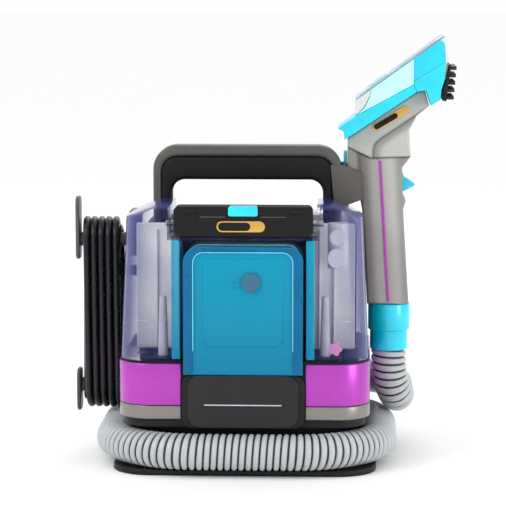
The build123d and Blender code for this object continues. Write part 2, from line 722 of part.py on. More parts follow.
with BuildPart() as cord_hank:
    with BuildSketch(Plane.YZ.offset(HANK_OUT)):
        with Locations((HOOK_Y, (HOOK_TOP_Z + HOOK_LOW_Z) / 2)):
            SlotCenterToCenter(HOOK_TOP_Z - HOOK_LOW_Z, 2 * (HANK_R + HANK_LAYER), rotation=90)
            SlotCenterToCenter(HOOK_TOP_Z - HOOK_LOW_Z, 2 * HANK_R, rotation=90, mode=Mode.SUBTRACT)
    extrude(amount=HANK_IN - HANK_OUT)
cord_hank.part.label = "cord_hank"
export_step(cord_hank.part, "parts/cord_hank.step")

GLAND_Y, GLAND_Z = 62.0, 176.0
GLAND_COLLAR = -111.0
CORD_EXIT = (-133.0, GLAND_Y, GLAND_Z)
with BuildPart() as cord_gland:
    add(rod_between((-HOUSING_HALF, GLAND_Y, GLAND_Z), (GLAND_COLLAR, GLAND_Y, GLAND_Z), 8))
    with BuildSketch(Plane.YZ.offset(GLAND_COLLAR)):
        with Locations((GLAND_Y, GLAND_Z)):
            Circle(6.2)
    extrude(amount=CORD_EXIT[0] - GLAND_COLLAR, taper=5)
cord_gland.part.label = "cord_gland"
export_step(cord_gland.part, "parts/cord_gland.step")

CORD_ROUTE = [CORD_EXIT, (-148, 62, 175), (-154, 56, 156), (-154, 45, 132), (-154, 37, 104)]
cord_radii = corner_radii(CORD_ROUTE)
cord_solid, cord_length = tube_along(CORD_ROUTE, cord_radii, CORD_D)
with BuildPart() as power_cord:
    add(cord_solid)
power_cord.part.label = "power_cord"
export_step(power_cord.part, "parts/power_cord.step")

PLUG_X, PLUG_Y = -137.0, 50.0
PLUG_LOW, PLUG_HIGH = 64.0, 84.0
LEAD_ROUTE = [(PLUG_X, 37, 158), (PLUG_X, 41, 138), (PLUG_X, 48, 120), (PLUG_X, PLUG_Y, 104)]
lead_radii = corner_radii(LEAD_ROUTE)
lead_solid, lead_length = tube_along(LEAD_ROUTE, lead_radii, CORD_D)
with BuildPart() as plug_lead:
    add(lead_solid)
plug_lead.part.label = "plug_lead"
export_step(plug_lead.part, "parts/plug_lead.step")

BLADE_SPACING, BLADE_T, BLADE_W = 12.7, 1.5, 6.4
blade_lefts = [PLUG_X + (side * BLADE_SPACING - BLADE_T) / 2 for side in (-1, 1)]
plug_blades = [box_between((left, PLUG_Y - BLADE_W / 2, 47),
                           (left + BLADE_T, PLUG_Y + BLADE_W / 2, PLUG_LOW))
               for left in blade_lefts]
with BuildPart() as power_plug:
    add(plan_block(26, PLUG_Y - 9, PLUG_Y + 9, 6, PLUG_LOW, PLUG_HIGH).moved(Location((PLUG_X, 0, 0))))
    with BuildSketch(Plane.XY.offset(PLUG_HIGH)):
        with Locations((PLUG_X, PLUG_Y)):
            Circle(6)
    extrude(amount=LEAD_ROUTE[-1][2] - PLUG_HIGH, taper=6)
    for plug_blade in plug_blades:
        add(plug_blade)
power_plug.part.label = "power_plug"
export_step(power_plug.part, "parts/power_plug.step")

# ---------------------------------------------------------------- suction hose
PORT_RIGHT = 30.0
port_duct = rod_between((0, 110, HOSE_Z), (0, BODY_BACK - WALL, HOSE_Z), PORT_BORE - 0.5)
port_socket = rod_between((PORT_RIGHT, HOSE_Y, HOSE_Z), (0, HOSE_Y, HOSE_Z), PORT_BORE)
with BuildPart() as hose_port:
    add(box_between((-22, BODY_BACK, BASE_TOP), (PORT_RIGHT, 133, 41.4)))
    fillet(hose_port.edges().filter_by(Axis.X).sort_by(Axis.Y)[-2:], 14)
    fillet(hose_port.edges().filter_by(Axis.Z).sort_by(Axis.X)[0], 8)
    add(port_duct, mode=Mode.SUBTRACT)
    add(port_socket, mode=Mode.SUBTRACT)
hose_port.part.label = "hose_port"
export_step(hose_port.part, "parts/hose_port.step")

RISER_FOOT = (RISER_X, 22.0, RISER_Z)
REAR_RIGHT = (RISER_X - 2, 86.0, HOSE_HIGH_Z)
RISER_END = tuple((low + high) / 2 for low, high in zip(RISER_FOOT, REAR_RIGHT))
RISER_ROUTE = [(COLLAR_X, WAND_Y, COLLAR_BOTTOM - 0.3), (COLLAR_X, WAND_Y, 77), RISER_FOOT, RISER_END]
riser_radii = corner_radii(RISER_ROUTE)
riser_solid, riser_length = tube_along(RISER_ROUTE, riser_radii, HOSE_D)
with BuildPart() as hose_riser:
    add(riser_solid)
hose_riser.part.label = "hose_riser"
export_step(hose_riser.part, "parts/hose_riser.step")

LOOP_ROUTE = [RISER_END, REAR_RIGHT, (120, HOSE_Y + 2, HOSE_HIGH_Z), (-40, HOSE_Y + 1, HOSE_HIGH_Z),
              (-92, HOSE_Y, HOSE_Z + 6), (-HOSE_X, 68, HOSE_Z + 0.5),
              (-HOSE_X, HOSE_TURN - HOSE_Y, HOSE_Z), (HOSE_TURN - HOSE_X, -HOSE_Y, HOSE_Z),
              (HOSE_X - HOSE_TURN, -HOSE_Y, HOSE_Z), (HOSE_X, HOSE_TURN - HOSE_Y, HOSE_Z),
              (HOSE_X, HOSE_Y - HOSE_TURN, HOSE_Z), (HOSE_X - HOSE_TURN, HOSE_Y, HOSE_Z),
              (PORT_RIGHT, HOSE_Y, HOSE_Z)]
loop_radii = corner_radii(LOOP_ROUTE)
loop_solid, loop_length = tube_along(LOOP_ROUTE, loop_radii, HOSE_D)
with BuildPart() as hose_loop:
    add(loop_solid)
hose_loop.part.label = "hose_loop"
export_step(hose_loop.part, "parts/hose_loop.step")

# ---------------------------------------------------------------- hand wand
with BuildPart() as hose_collar:
    with BuildSketch(Plane.XY.offset(COLLAR_BOTTOM)):
        with Locations((COLLAR_X, WAND_Y)):
            Circle(COLLAR_R)
            Circle(COLLAR_BORE, mode=Mode.SUBTRACT)
    extrude(amount=COLLAR_STEP)
    with BuildSketch(Plane.XY.offset(COLLAR_BOTTOM + COLLAR_STEP)):
        with Locations((COLLAR_X, WAND_Y)):
            Circle(COLLAR_R + 2)
            Circle(COLLAR_BORE, mode=Mode.SUBTRACT)
    extrude(amount=COLLAR_TOP - COLLAR_BOTTOM - COLLAR_STEP)
hose_collar.part.label = "hose_collar"
export_step(hose_collar.part, "parts/hose_collar.step")

GRIP_OUTLINE = [(118.5, GRIP_BASE), (159.7, GRIP_BASE), (153.6, 248), (156, 256), (153, 262), (152.2, 289),
                (160.6, 300), (121.4, 298.4), (98.5, 309.4), (98.5, 289), (107, 280), (113, 248)]
BORE_LOW = (138.5, WAND_Y, GRIP_BASE - 1)
BORE_HIGH = (130.5, WAND_Y, 304)
TUBE_R = 12.0
HEAD_HALF = 22.0
grip_bore = rod_between(BORE_LOW, BORE_HIGH, TUBE_R)
trigger_slot = box_between((142.5, WAND_Y - 5.5, 259), (170, WAND_Y + 5.5, 288))
latch_pocket = box_between((98, WAND_Y - 9.5, 289), (100.6, WAND_Y + 9.5, 305.1))
TRIGGER_X, TRIGGER_Z = 150.0, 283.0
trigger_pin = rod_between((TRIGGER_X, WAND_Y - 8, TRIGGER_Z), (TRIGGER_X, WAND_Y, TRIGGER_Z), 1.2)
stripe_line = [(129.2, 296), (131.6, 296), (140.8, 156), (138.4, 156)]
stripe_solid = side_slab(stripe_line, WAND_Y - WAND_HALF - 1, WAND_Y - WAND_HALF + 0.6)


def grip_half(front, back, outer_y):
    """One half of the wand's handle, rounded along its outer side."""
    slab = side_slab(GRIP_OUTLINE, front, back)
    with BuildPart() as half:
        add(slab)
        fillet(half.faces().filter_by(Plane.XZ).sort_by(lambda face: abs(face.center().Y - outer_y))[0]
               .edges(), 2.5)
        add(grip_bore, mode=Mode.SUBTRACT)
        add(trigger_slot, mode=Mode.SUBTRACT)
        add(latch_pocket, mode=Mode.SUBTRACT)
    return half.part


front_half = grip_half(WAND_Y - WAND_HALF, WAND_Y, WAND_Y - WAND_HALF)
rear_half = grip_half(WAND_Y, WAND_Y + WAND_HALF, WAND_Y + WAND_HALF)
with BuildPart() as grip_front:
    add(front_half)
    add(stripe_solid, mode=Mode.SUBTRACT)
    add(trigger_pin)
grip_front.part.label = "grip_front"
export_step(grip_front.part, "parts/grip_front.step")

with BuildPart() as grip_rear:
    add(rear_half)
grip_rear.part.label = "grip_rear"
export_step(grip_rear.part, "parts/grip_rear.step")

with BuildPart() as wand_stripe:
    add(stripe_solid)
wand_stripe.part.label = "wand_stripe"
export_step(wand_stripe.part, "parts/wand_stripe.step")

tube_void = rod_between(BORE_LOW, BORE_HIGH, TUBE_R - 2)
with BuildPart() as suction_tube:
    add(grip_bore)
    add(tube_void, mode=Mode.SUBTRACT)
suction_tube.part.label = "suction_tube"
export_step(suction_tube.part, "parts/suction_tube.step")

TRIGGER_OUTLINE = [(146.6, 287), (152, 286), (154.5, 279), (167, 271), (154, 264.5), (148.4, 266),
                   (146.6, 279)]
trigger_bore = rod_between((TRIGGER_X, WAND_Y - 6, TRIGGER_Z), (TRIGGER_X, WAND_Y + 0.4, TRIGGER_Z), 1.5)
with BuildPart() as trigger:
    add(side_slab(TRIGGER_OUTLINE, WAND_Y - 5, WAND_Y + 5))
    fillet(trigger.edges().filter_by(Axis.Y).sort_by(Axis.X)[-1], 2)
    add(trigger_bore, mode=Mode.SUBTRACT)
trigger.part.label = "trigger"
export_step(trigger.part, "parts/trigger.step")

HEAD_OUTLINE = [(98.5, 318.3), (166.1, 363.8), (174, 365), (178, 350), (166, 340.3), (158.8, 326.4),
                (159.5, 309.6), (160.6, 300.3), (121.4, 298.7), (98.5, 309.8)]
head_slab = side_slab(HEAD_OUTLINE, WAND_Y - HEAD_HALF, WAND_Y + HEAD_HALF)
PORT_X = 128.0
with BuildPart() as wand_head:
    add(head_slab)
    fillet(wand_head.faces().filter_by(Plane.XZ).edges(), 2.5)
    add(rod_between(BORE_HIGH, (PORT_X, WAND_Y, 350), TUBE_R), mode=Mode.SUBTRACT)
    add(grip_bore, mode=Mode.SUBTRACT)
wand_head.part.label = "wand_head"
export_step(wand_head.part, "parts/wand_head.step")

badge_plane = Plane(origin=(140.5, WAND_Y - HEAD_HALF, 337.8), x_dir=(0.86, 0, 0.51), z_dir=(0, -1, 0))
with BuildPart() as wand_badge:
    with BuildSketch(badge_plane):
        SlotOverall(40, 7.5)
    extrude(amount=1)
wand_badge.part.label = "wand_badge"
export_step(wand_badge.part, "parts/wand_badge.step")

with BuildPart() as tool_latch:
    add(box_between((94.6, WAND_Y - 9, 289.5), (98.1, WAND_Y + 9, 304.6)))
    fillet(tool_latch.edges().filter_by(Axis.X), 2)
tool_latch.part.label = "tool_latch"
export_step(tool_latch.part, "parts/tool_latch.step")

# ---------------------------------------------------------------- cleaning tool
TOOL_LOW = [(95.5, 317.2), (165.5, 364.4), (174.6, 366), (179.4, 350.4), (189.1, 356.2), (189.7, 366.2),
            (193, 376), (166.5, 376.5), (126.3, 366), (106, 356.5), (106, 340.3), (88.6, 328.4),
            (94.6, 325.4)]
TOOL_HALF = 27.0
MOUTH_HALF = 34.0
tool_low_slab = side_slab(TOOL_LOW, WAND_Y - TOOL_HALF, WAND_Y + TOOL_HALF)
tool_port = rod_between((PORT_X, WAND_Y, 320), (PORT_X, WAND_Y, 380), TUBE_R)
with BuildPart() as tool_body:
    add(tool_low_slab)
    add(tool_port, mode=Mode.SUBTRACT)
tool_body.part.label = "tool_body"
export_step(tool_body.part, "parts/tool_body.step")

WINDOW = [(106, 357), (126.2, 366.6), (166.4, 377), (193.2, 376.6), (195.9, 392.5), (194.9, 411.8),
          (191.9, 419.3), (126.3, 374.1)]
WINDOW_VOID = [(112, 361.5), (126.2, 368), (166.4, 378.6), (192, 378), (210, 379), (210, 416),
               (191, 416.5), (127, 372.2)]
window_slab = side_slab(WINDOW, WAND_Y - MOUTH_HALF, WAND_Y + MOUTH_HALF)
window_void = side_slab(WINDOW_VOID, WAND_Y - MOUTH_HALF + 2, WAND_Y + MOUTH_HALF - 2)
with BuildPart() as tool_window:
    add(window_slab)
    add(window_void, mode=Mode.SUBTRACT)
    add(tool_port, mode=Mode.SUBTRACT)
tool_window.part.label = "tool_window"
export_step(tool_window.part, "parts/tool_window.step")

CARRIER = [(190.2, 356), (190.8, 366), (194.2, 376.4), (197, 390.5), (199, 390.5), (196.4, 372),
           (194.4, 355)]
with BuildPart() as brush_carrier:
    add(side_slab(CARRIER, WAND_Y - MOUTH_HALF, WAND_Y + MOUTH_HALF))
brush_carrier.part.label = "brush_carrier"
export_step(brush_carrier.part, "parts/brush_carrier.step")

TUFT_ROWS, TUFTS_PER_ROW = 5, 9
TUFT_X, TUFT_LEAN = 195.2, 0.62
TUFT_Z, TUFT_PITCH = 358.5, 7.2
with BuildPart() as bristle_tufts:
    for row in range(TUFT_ROWS):
        with BuildSketch(Plane.YZ.offset(TUFT_X + TUFT_LEAN * row)):
            with Locations((WAND_Y, TUFT_Z + TUFT_PITCH * row)):
                with GridLocations(7, 1, TUFTS_PER_ROW, 1):
                    Circle(1.9)
        extrude(amount=6.5)
bristle_tufts.part.label = "bristle_tufts"
export_step(bristle_tufts.part, "parts/bristle_tufts.step")

NOZZLE_NECK = (176, WAND_Y, 394)
with BuildPart() as spray_nozzle:
    add(rod_between((150, WAND_Y, 384), NOZZLE_NECK, 3.5))
    add(rod_between(NOZZLE_NECK, (184, WAND_Y, 397), 5))
spray_nozzle.part.label = "spray_nozzle"
export_step(spray_nozzle.part, "parts/spray_nozzle.step")

# ---------------------------------------------------------------- printed sizes
radii_by_route = {"cord": cord_radii, "lead": lead_radii, "riser": riser_radii, "loop": loop_radii}
for route_name, radii in radii_by_route.items():
    print(route_name, "radii", [round(radius, 1) for radius in radii])
SECTIONS = {"cord": CORD_D, "lead": CORD_D, "riser": HOSE_D, "loop": HOSE_D}
tubes = {"cord": (cord_solid, cord_length), "lead": (lead_solid, lead_length),
         "riser": (riser_solid, riser_length), "loop": (loop_solid, loop_length)}
for route_name, (solid, length) in tubes.items():
    section = pi * SECTIONS[route_name] ** 2 / 4
    print(route_name, "length", round(length, 1), "volume over section times length",
          round(solid.volume / (section * length), 4))
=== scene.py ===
"""Looks of a portable carpet cleaner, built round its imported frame.

Every piece is in metres in the frame's own axes: +Z up, -Y to the front, +X towards the docked wand.
"""

import json
import logging
import math
from dataclasses import dataclass
from enum import Enum

import bpy
from mathutils import Euler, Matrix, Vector

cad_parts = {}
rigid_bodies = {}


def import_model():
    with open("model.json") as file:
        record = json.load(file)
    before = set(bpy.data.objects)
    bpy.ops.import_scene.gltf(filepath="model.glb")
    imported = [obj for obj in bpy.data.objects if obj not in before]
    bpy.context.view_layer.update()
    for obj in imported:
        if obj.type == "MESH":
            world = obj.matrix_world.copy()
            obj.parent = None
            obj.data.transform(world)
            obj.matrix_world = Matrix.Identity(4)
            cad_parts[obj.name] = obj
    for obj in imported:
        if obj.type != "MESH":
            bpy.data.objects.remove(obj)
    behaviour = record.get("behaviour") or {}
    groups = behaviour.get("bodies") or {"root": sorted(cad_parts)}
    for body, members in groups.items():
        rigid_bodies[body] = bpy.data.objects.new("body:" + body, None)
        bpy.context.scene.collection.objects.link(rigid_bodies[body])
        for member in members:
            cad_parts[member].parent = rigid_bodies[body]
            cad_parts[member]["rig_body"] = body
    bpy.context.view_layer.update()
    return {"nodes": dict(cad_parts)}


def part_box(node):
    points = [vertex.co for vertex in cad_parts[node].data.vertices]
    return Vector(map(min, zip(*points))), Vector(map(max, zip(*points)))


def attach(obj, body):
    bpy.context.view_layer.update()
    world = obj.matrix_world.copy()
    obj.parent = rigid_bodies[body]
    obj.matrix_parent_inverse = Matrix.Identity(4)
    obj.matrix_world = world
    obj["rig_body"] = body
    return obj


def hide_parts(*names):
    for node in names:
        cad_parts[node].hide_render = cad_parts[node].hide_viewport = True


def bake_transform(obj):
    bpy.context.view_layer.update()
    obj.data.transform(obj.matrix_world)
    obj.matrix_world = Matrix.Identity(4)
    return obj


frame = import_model()
LOG = logging.getLogger("carpet_cleaner")

Point = tuple[float, float, float]
Colour = tuple[float, float, float]
MM = 0.001
SHARP_ANGLE = 0.6        # least angle of a rounded edge, in radians
SMOOTH_ANGLE = 0.7       # greatest angle shaded as smooth, in radians
MERGE_DISTANCE = 0.000002
FLAT_ANGLE = 0.012
ARC_STEPS = 12
NOISE_LOW, NOISE_HIGH = 0.3, 0.7
BUMP_STRENGTH = 0.6


# ------------------------------------------------------------------ finishes
class Grain(Enum):
    """Surface grain of a moulded or painted piece."""

    FINE = (900.0, 0.00012)
    TEXTURED = (420.0, 0.0003)
    SMOOTH = (320.0, 0.00001)


class Shader:
    """A node material under construction round one Principled shader."""

    def __init__(self, name: str) -> None:
        """Start an empty material.

        Args:
            name: Name of the material.
        """
        self.material = bpy.data.materials.new(name)
        self.material.use_nodes = True
        self.tree = self.material.node_tree
        self.body = self.tree.nodes["Principled BSDF"]
        self.place = self.tree.nodes.new("ShaderNodeTexCoord").outputs["Object"]

    def settings(self, **values: float | Colour) -> None:
        """Set constant values on the shader's own sockets.

        Args:
            **values: Socket names with underscores for spaces, and their values.
        """
        for key, value in values.items():
            socket = self.body.inputs[key.replace("_", " ")]
            socket.default_value = (*value, 1.0) if isinstance(value, tuple) else value

    def node(self, kind: str, **inputs: object) -> bpy.types.Node:
        """Add a node, linking sockets and setting values by input name.

        Args:
            kind: Blender's node type.
            **inputs: Input names with underscores for spaces; a socket is linked, a number is set.

        Returns:
            The new node.
        """
        made = self.tree.nodes.new(kind)
        for key, value in inputs.items():
            socket = made.inputs[key.replace("_", " ")]
            if isinstance(value, bpy.types.NodeSocket):
                self.tree.links.new(value, socket)
            else:
                socket.default_value = value
        return made

    def noise(self, scale: float, detail: float = 3.0, stretch: Point = (1.0, 1.0, 1.0)) -> bpy.types.NodeSocket:
        """Noise on object coordinates.

        Args:
            scale: Cells in a metre.
            detail: Octaves of the noise.
            stretch: Scale of each axis before the noise.

        Returns:
            The noise value.
        """
        mapped = self.node("ShaderNodeMapping", Vector=self.place, Scale=stretch).outputs["Vector"]
        return self.node("ShaderNodeTexNoise", Vector=mapped, Scale=scale, Detail=detail).outputs["Fac"]

    def remap(self, value: bpy.types.NodeSocket, low: float, high: float) -> bpy.types.NodeSocket:
        """Spread the usual reach of a noise over a new range.

        Args:
            value: The noise value.
            low: Result at the noise's usual low.
            high: Result at the noise's usual high.

        Returns:
            The new value.
        """
        return self.spread(value, NOISE_LOW, NOISE_HIGH, low, high)

    def spread(self, value: bpy.types.NodeSocket, first: float, last: float, low: float = 0.0,
               high: float = 1.0) -> bpy.types.NodeSocket:
        """Spread one range of a value over another, held at both ends.

        Args:
            value: The value.
            first: Value that gives the low result.
            last: Value that gives the high result.
            low: Low result.
            high: High result.

        Returns:
            The new value.
        """
        made = self.node("ShaderNodeMapRange", Value=value, From_Min=first, From_Max=last, To_Min=low, To_Max=high)
        return made.outputs["Result"]

    def maths(self, operation: str, *values: bpy.types.NodeSocket | float) -> bpy.types.NodeSocket:
        """Work out one value from others.

        Args:
            operation: Blender's name of the operation.
            *values: Its inputs in order; a socket is linked, a number is set.

        Returns:
            The result.
        """
        made = self.tree.nodes.new("ShaderNodeMath")
        made.operation = operation
        for socket, value in zip(made.inputs, values):
            if isinstance(value, bpy.types.NodeSocket):
                self.tree.links.new(value, socket)
            else:
                socket.default_value = value
        return made.outputs["Value"]

    def blend(self, factor: bpy.types.NodeSocket, first: Colour, second: Colour) -> bpy.types.NodeSocket:
        """Mix two colours by a factor.

        Args:
            factor: Share of the second colour.
            first: Colour at 0.
            second: Colour at 1.

        Returns:
            The mixed colour.
        """
        mixer = self.tree.nodes.new("ShaderNodeMix")
        mixer.data_type = "RGBA"
        self.tree.links.new(factor, mixer.inputs["Factor"])
        mixer.inputs["A"].default_value = (*first, 1.0)
        mixer.inputs["B"].default_value = (*second, 1.0)
        return mixer.outputs["Result"]

    def ramp(self, factor: bpy.types.NodeSocket, tones: tuple[tuple[float, Colour], ...]) -> bpy.types.NodeSocket:
        """Run a value through a row of colours.

        Args:
            factor: Value from 0 to 1.
            tones: Places from 0 to 1 with their colours, in order.

        Returns:
            The colour at that value.
        """
        ramp = self.node("ShaderNodeValToRGB", Fac=factor)
        ramp.color_ramp.interpolation = "EASE"
        stops = ramp.color_ramp.elements
        while len(stops) < len(tones):
            stops.new(1.0)
        for stop, (place, tone) in zip(stops, tones):
            stop.position = place
            stop.color = (*tone, 1.0)
        return ramp.outputs["Color"]

    def drive(self, name: str, value: bpy.types.NodeSocket) -> None:
        """Link a value to one of the shader's sockets."""
        self.tree.links.new(value, self.body.inputs[name])

    def relief(self, height: bpy.types.NodeSocket, depth: float) -> None:
        """Bump the surface.

        Args:
            height: Height value from 0 to 1.
            depth: Depth of the relief in metres.
        """
        bump = self.node("ShaderNodeBump", Height=height, Strength=BUMP_STRENGTH, Distance=depth)
        self.drive("Normal", bump.outputs["Normal"])

    def warm_grey_surface(self) -> None:
        """Give the shader the gloss and the fine grain that both warm grey paints with painted shade share."""
        self.drive("Roughness", self.remap(self.noise(150.0), 0.34, 0.46))
        self.settings(Coat_Weight=0.1, Coat_Roughness=0.1, IOR=1.5)
        self.relief(self.noise(Grain.FINE.value[0], 2.0), Grain.FINE.value[1])


@dataclass(frozen=True)
class Finish:
    """A named finish, whose kind says how its shader is painted."""

    name: str

    def paint(self, shader: Shader) -> None:
        """Paint the shader, as each kind of finish does in its own way."""
        raise NotImplementedError

    def build(self) -> bpy.types.Material:
        """Make the material.

        Returns:
            The finished material.
        """
        shader = Shader(self.name)
        self.paint(shader)
        return shader.material


@dataclass(frozen=True)
class MouldedPlastic(Finish):
    """Opaque moulded plastic with a fine grain and slight unevenness."""

    colour: Colour
    roughness: float = 0.42
    grain: Grain = Grain.FINE
    coat: float = 0.0
    gloss: float = 0.5
    variation: float = 1.0

    def paint(self, shader: Shader) -> None:
        """Paint the shader.

        Args:
            shader: Shader of the new material.
        """
        cells, depth = self.grain.value
        darker = tuple(channel * (1.0 - 0.14 * self.variation) for channel in self.colour)
        lighter = tuple(min(1.0, channel * (1.0 + 0.1 * self.variation)) for channel in self.colour)
        cloud = shader.noise(34.0, 4.0)
        speck = shader.noise(cells, 2.0)
        shader.drive("Base Color", shader.blend(shader.remap(cloud, 0.0, 1.0), darker, lighter))
        shader.drive("Roughness", shader.remap(shader.noise(150.0), self.roughness - 0.05, self.roughness + 0.07))
        shader.settings(Coat_Weight=self.coat, Coat_Roughness=0.08, IOR=1.5, Specular_IOR_Level=self.gloss)
        shader.relief(speck, depth * self.variation)


@dataclass(frozen=True)
class SatinPaint(Finish):
    """Metallic paint with fine flakes under a satin lacquer."""

    colour: Colour
    flake: Colour
    roughness: float = 0.3

    def paint(self, shader: Shader) -> None:
        """Paint the shader.

        Args:
            shader: Shader of the new material.
        """
        flakes = shader.noise(2600.0, 1.0)
        shader.drive("Base Color", shader.blend(shader.remap(flakes, 0.0, 0.3), self.colour, self.flake))
        shader.drive("Roughness", shader.remap(shader.noise(120.0), self.roughness - 0.04, self.roughness + 0.06))
        shader.settings(Metallic=0.72, Coat_Weight=0.35, Coat_Roughness=0.12)
        shader.relief(shader.noise(700.0, 2.0), 0.00005)


@dataclass(frozen=True)
class PaintedRoundingShade(Finish):
    """Warm grey paint on a crowned, leaning shell, with painted shade and a painted highlight ramped across it for
    the light on its rounded face, its tone falling away towards the edges.
    """

    tones: tuple[tuple[float, Colour], ...]
    edge: float
    lean: float
    width: float

    def paint(self, shader: Shader) -> None:
        """Paint the shader.

        Args:
            shader: Shader of the new material.
        """
        parts = shader.node("ShaderNodeSeparateXYZ", Vector=shader.place).outputs
        across = shader.maths("MULTIPLY_ADD", parts["Z"], self.lean, parts["X"])
        share = shader.spread(across, self.edge, self.edge + self.width)
        # Painted shade and a painted highlight across the rounded shell, set in the base colour.
        shader.drive("Base Color", shader.ramp(share, self.tones))
        shader.warm_grey_surface()


@dataclass(frozen=True)
class PaintedHollowShade(Finish):
    """Warm grey paint with painted shade just inside a scooped hollow that runs up a side and along a slope."""

    tones: tuple[tuple[float, Colour], ...]
    side: float
    slope: Point
    reach: float
    corner: float = 0.01

    def paint(self, shader: Shader) -> None:
        """Paint the shader.

        Args:
            shader: Shader of the new material.
        """
        parts = shader.node("ShaderNodeSeparateXYZ", Vector=shader.place).outputs
        inward = shader.maths("SUBTRACT", parts["X"], self.side)
        along = shader.node("ShaderNodeVectorMath", Vector=shader.place)
        along.operation = "DOT_PRODUCT"
        along.inputs[1].default_value = (-self.slope[0], 0.0, -self.slope[1])
        below = shader.maths("ADD", along.outputs["Value"], self.slope[2])
        hollow = shader.maths("SMOOTH_MIN", inward, below, self.corner)
        depth = shader.spread(hollow, -0.2 * self.reach, self.reach)
        # Painted shade inside the hollow, set in the base colour.
        shader.drive("Base Color", shader.ramp(depth, self.tones))
        shader.warm_grey_surface()


@dataclass(frozen=True)
class ClearPlastic(Finish):
    """Tinted see-through plastic, darker towards the bottom, with faint flow marks."""

    colour: Colour
    deep: Colour
    alpha: float
    edge_alpha: float
    bottom: float
    top: float
    roughness: float = 0.1
    gloss: float = 0.5

    def paint(self, shader: Shader) -> None:
        """Paint the shader.

        Args:
            shader: Shader of the new material.
        """
        height = shader.node("ShaderNodeSeparateXYZ", Vector=shader.place).outputs["Z"]
        rise = shader.spread(height, self.bottom, self.top)
        shader.drive("Base Color", shader.blend(rise, self.deep, self.colour))
        slant = shader.node("ShaderNodeLayerWeight", Blend=0.45).outputs["Facing"]
        shader.drive("Alpha", shader.spread(slant, 0.0, 1.0, self.alpha, self.edge_alpha))
        shader.drive("Roughness", shader.remap(shader.noise(90.0), self.roughness * 0.7, self.roughness * 1.4))
        shader.settings(IOR=1.49, Specular_IOR_Level=self.gloss, Coat_Weight=self.gloss, Coat_Roughness=0.04)
        shader.relief(shader.noise(40.0, 2.0, (1.0, 1.0, 0.3)), 0.00012)


@dataclass(frozen=True)
class PlainMetal(Finish):
    """Bare or plated metal with drawn marks."""

    colour: Colour
    roughness: float = 0.28

    def paint(self, shader: Shader) -> None:
        """Paint the shader.

        Args:
            shader: Shader of the new material.
        """
        marks = shader.noise(240.0, 4.0, (1.0, 1.0, 12.0))
        darker = tuple(channel * 0.8 for channel in self.colour)
        shader.drive("Base Color", shader.blend(shader.remap(marks, 0.0, 1.0), self.colour, darker))
        shader.drive("Roughness", shader.remap(marks, self.roughness - 0.06, self.roughness + 0.1))
        shader.settings(Metallic=1.0)
        shader.relief(marks, 0.00006)


@dataclass(frozen=True)
class RibbedHoseSkin(Finish):
    """Pale hose plastic whose grooves carry a thin dark spiral."""

    crest: Colour
    groove: Colour
    edge_start: float = 0.5
    edge_end: float = 0.72

    def paint(self, shader: Shader) -> None:
        """Paint the shader, which reads the hose's own groove attribute.

        Args:
            shader: Shader of the new material.
        """
        mark = shader.tree.nodes.new("ShaderNodeAttribute")
        mark.attribute_name = "groove"
        edge = shader.spread(mark.outputs["Fac"], self.edge_start, self.edge_end)
        shader.drive("Base Color", shader.blend(edge, self.crest, self.groove))
        shader.drive("Roughness", shader.remap(shader.noise(220.0), 0.26, 0.42))
        shader.settings(Coat_Weight=0.2, Coat_Roughness=0.15, Subsurface_Weight=0.05)
        shader.relief(shader.noise(500.0, 2.0), 0.00008)


BLACK_SHELL = MouldedPlastic("black_shell_plastic", (0.009, 0.009, 0.011), 0.44, Grain.TEXTURED, gloss=0.22)
SOFT_BLACK = MouldedPlastic("soft_touch_black", (0.007, 0.007, 0.008), 0.5, Grain.TEXTURED, gloss=0.2)
GLOSS_BLACK = MouldedPlastic("gloss_panel_black", (0.014, 0.014, 0.017), 0.34, Grain.SMOOTH, 0.08, 0.25)
BOARD_GREEN = MouldedPlastic("board_green", (0.01, 0.12, 0.05), 0.4)
HANDLE_GREY = MouldedPlastic("handle_warm_grey", (0.085, 0.079, 0.073), 0.38, Grain.FINE, 0.05, 0.4)
PALE_GREY = MouldedPlastic("pale_inner_plastic", (0.66, 0.67, 0.76), 0.45)
# Wand grip: warm grey with painted shade and a painted highlight across its rounded shell.
GRIP_PAINTED_SHADE = PaintedRoundingShade("grip_grey_painted_shade", ((0.0, (0.25, 0.24, 0.23)), (0.26, (0.23, 0.22, 0.21)),
                                               (0.33, (0.09, 0.085, 0.08)), (0.4, (0.15, 0.14, 0.13)),
                                               (0.56, (0.31, 0.3, 0.285)), (0.82, (0.43, 0.42, 0.4)),
                                               (1.0, (0.24, 0.23, 0.215))), 0.1077, 0.06, 0.0612)
# Wand head: warm grey with painted shade just inside its scooped hollow.
HEAD_PAINTED_SHADE = PaintedHollowShade("head_grey_painted_shade", ((0.0, (0.42, 0.41, 0.39)), (0.13, (0.36, 0.35, 0.335)),
                                             (0.22, (0.13, 0.12, 0.115)), (0.45, (0.25, 0.245, 0.235)),
                                             (1.0, (0.45, 0.44, 0.42))), 0.1228, (-0.558, 0.83, 0.19175), 0.011)
WINDOW_PALE = MouldedPlastic("pale_cyan_window", (0.46, 0.86, 0.98), 0.25, Grain.SMOOTH, 0.3)
WINDOW_GREY = MouldedPlastic("pale_grey_window", (0.6, 0.62, 0.63), 0.3, Grain.SMOOTH, 0.2)
WINDOW_RIM = MouldedPlastic("grey_window_rim", (0.22, 0.24, 0.25), 0.35)
LINER = MouldedPlastic("lavender_liner", (0.93, 0.94, 1.0), 0.4)
CYAN = MouldedPlastic("bright_cyan_plastic", (0.0, 0.62, 0.8), 0.26, Grain.SMOOTH, 0.35)
PINK = MouldedPlastic("pink_plastic", (0.42, 0.15, 0.36), 0.32, Grain.SMOOTH, 0.2)
PAPER = MouldedPlastic("studio_paper", (0.98, 0.98, 0.98), 0.95, Grain.FINE, 0.0, 0.1, 0.02)
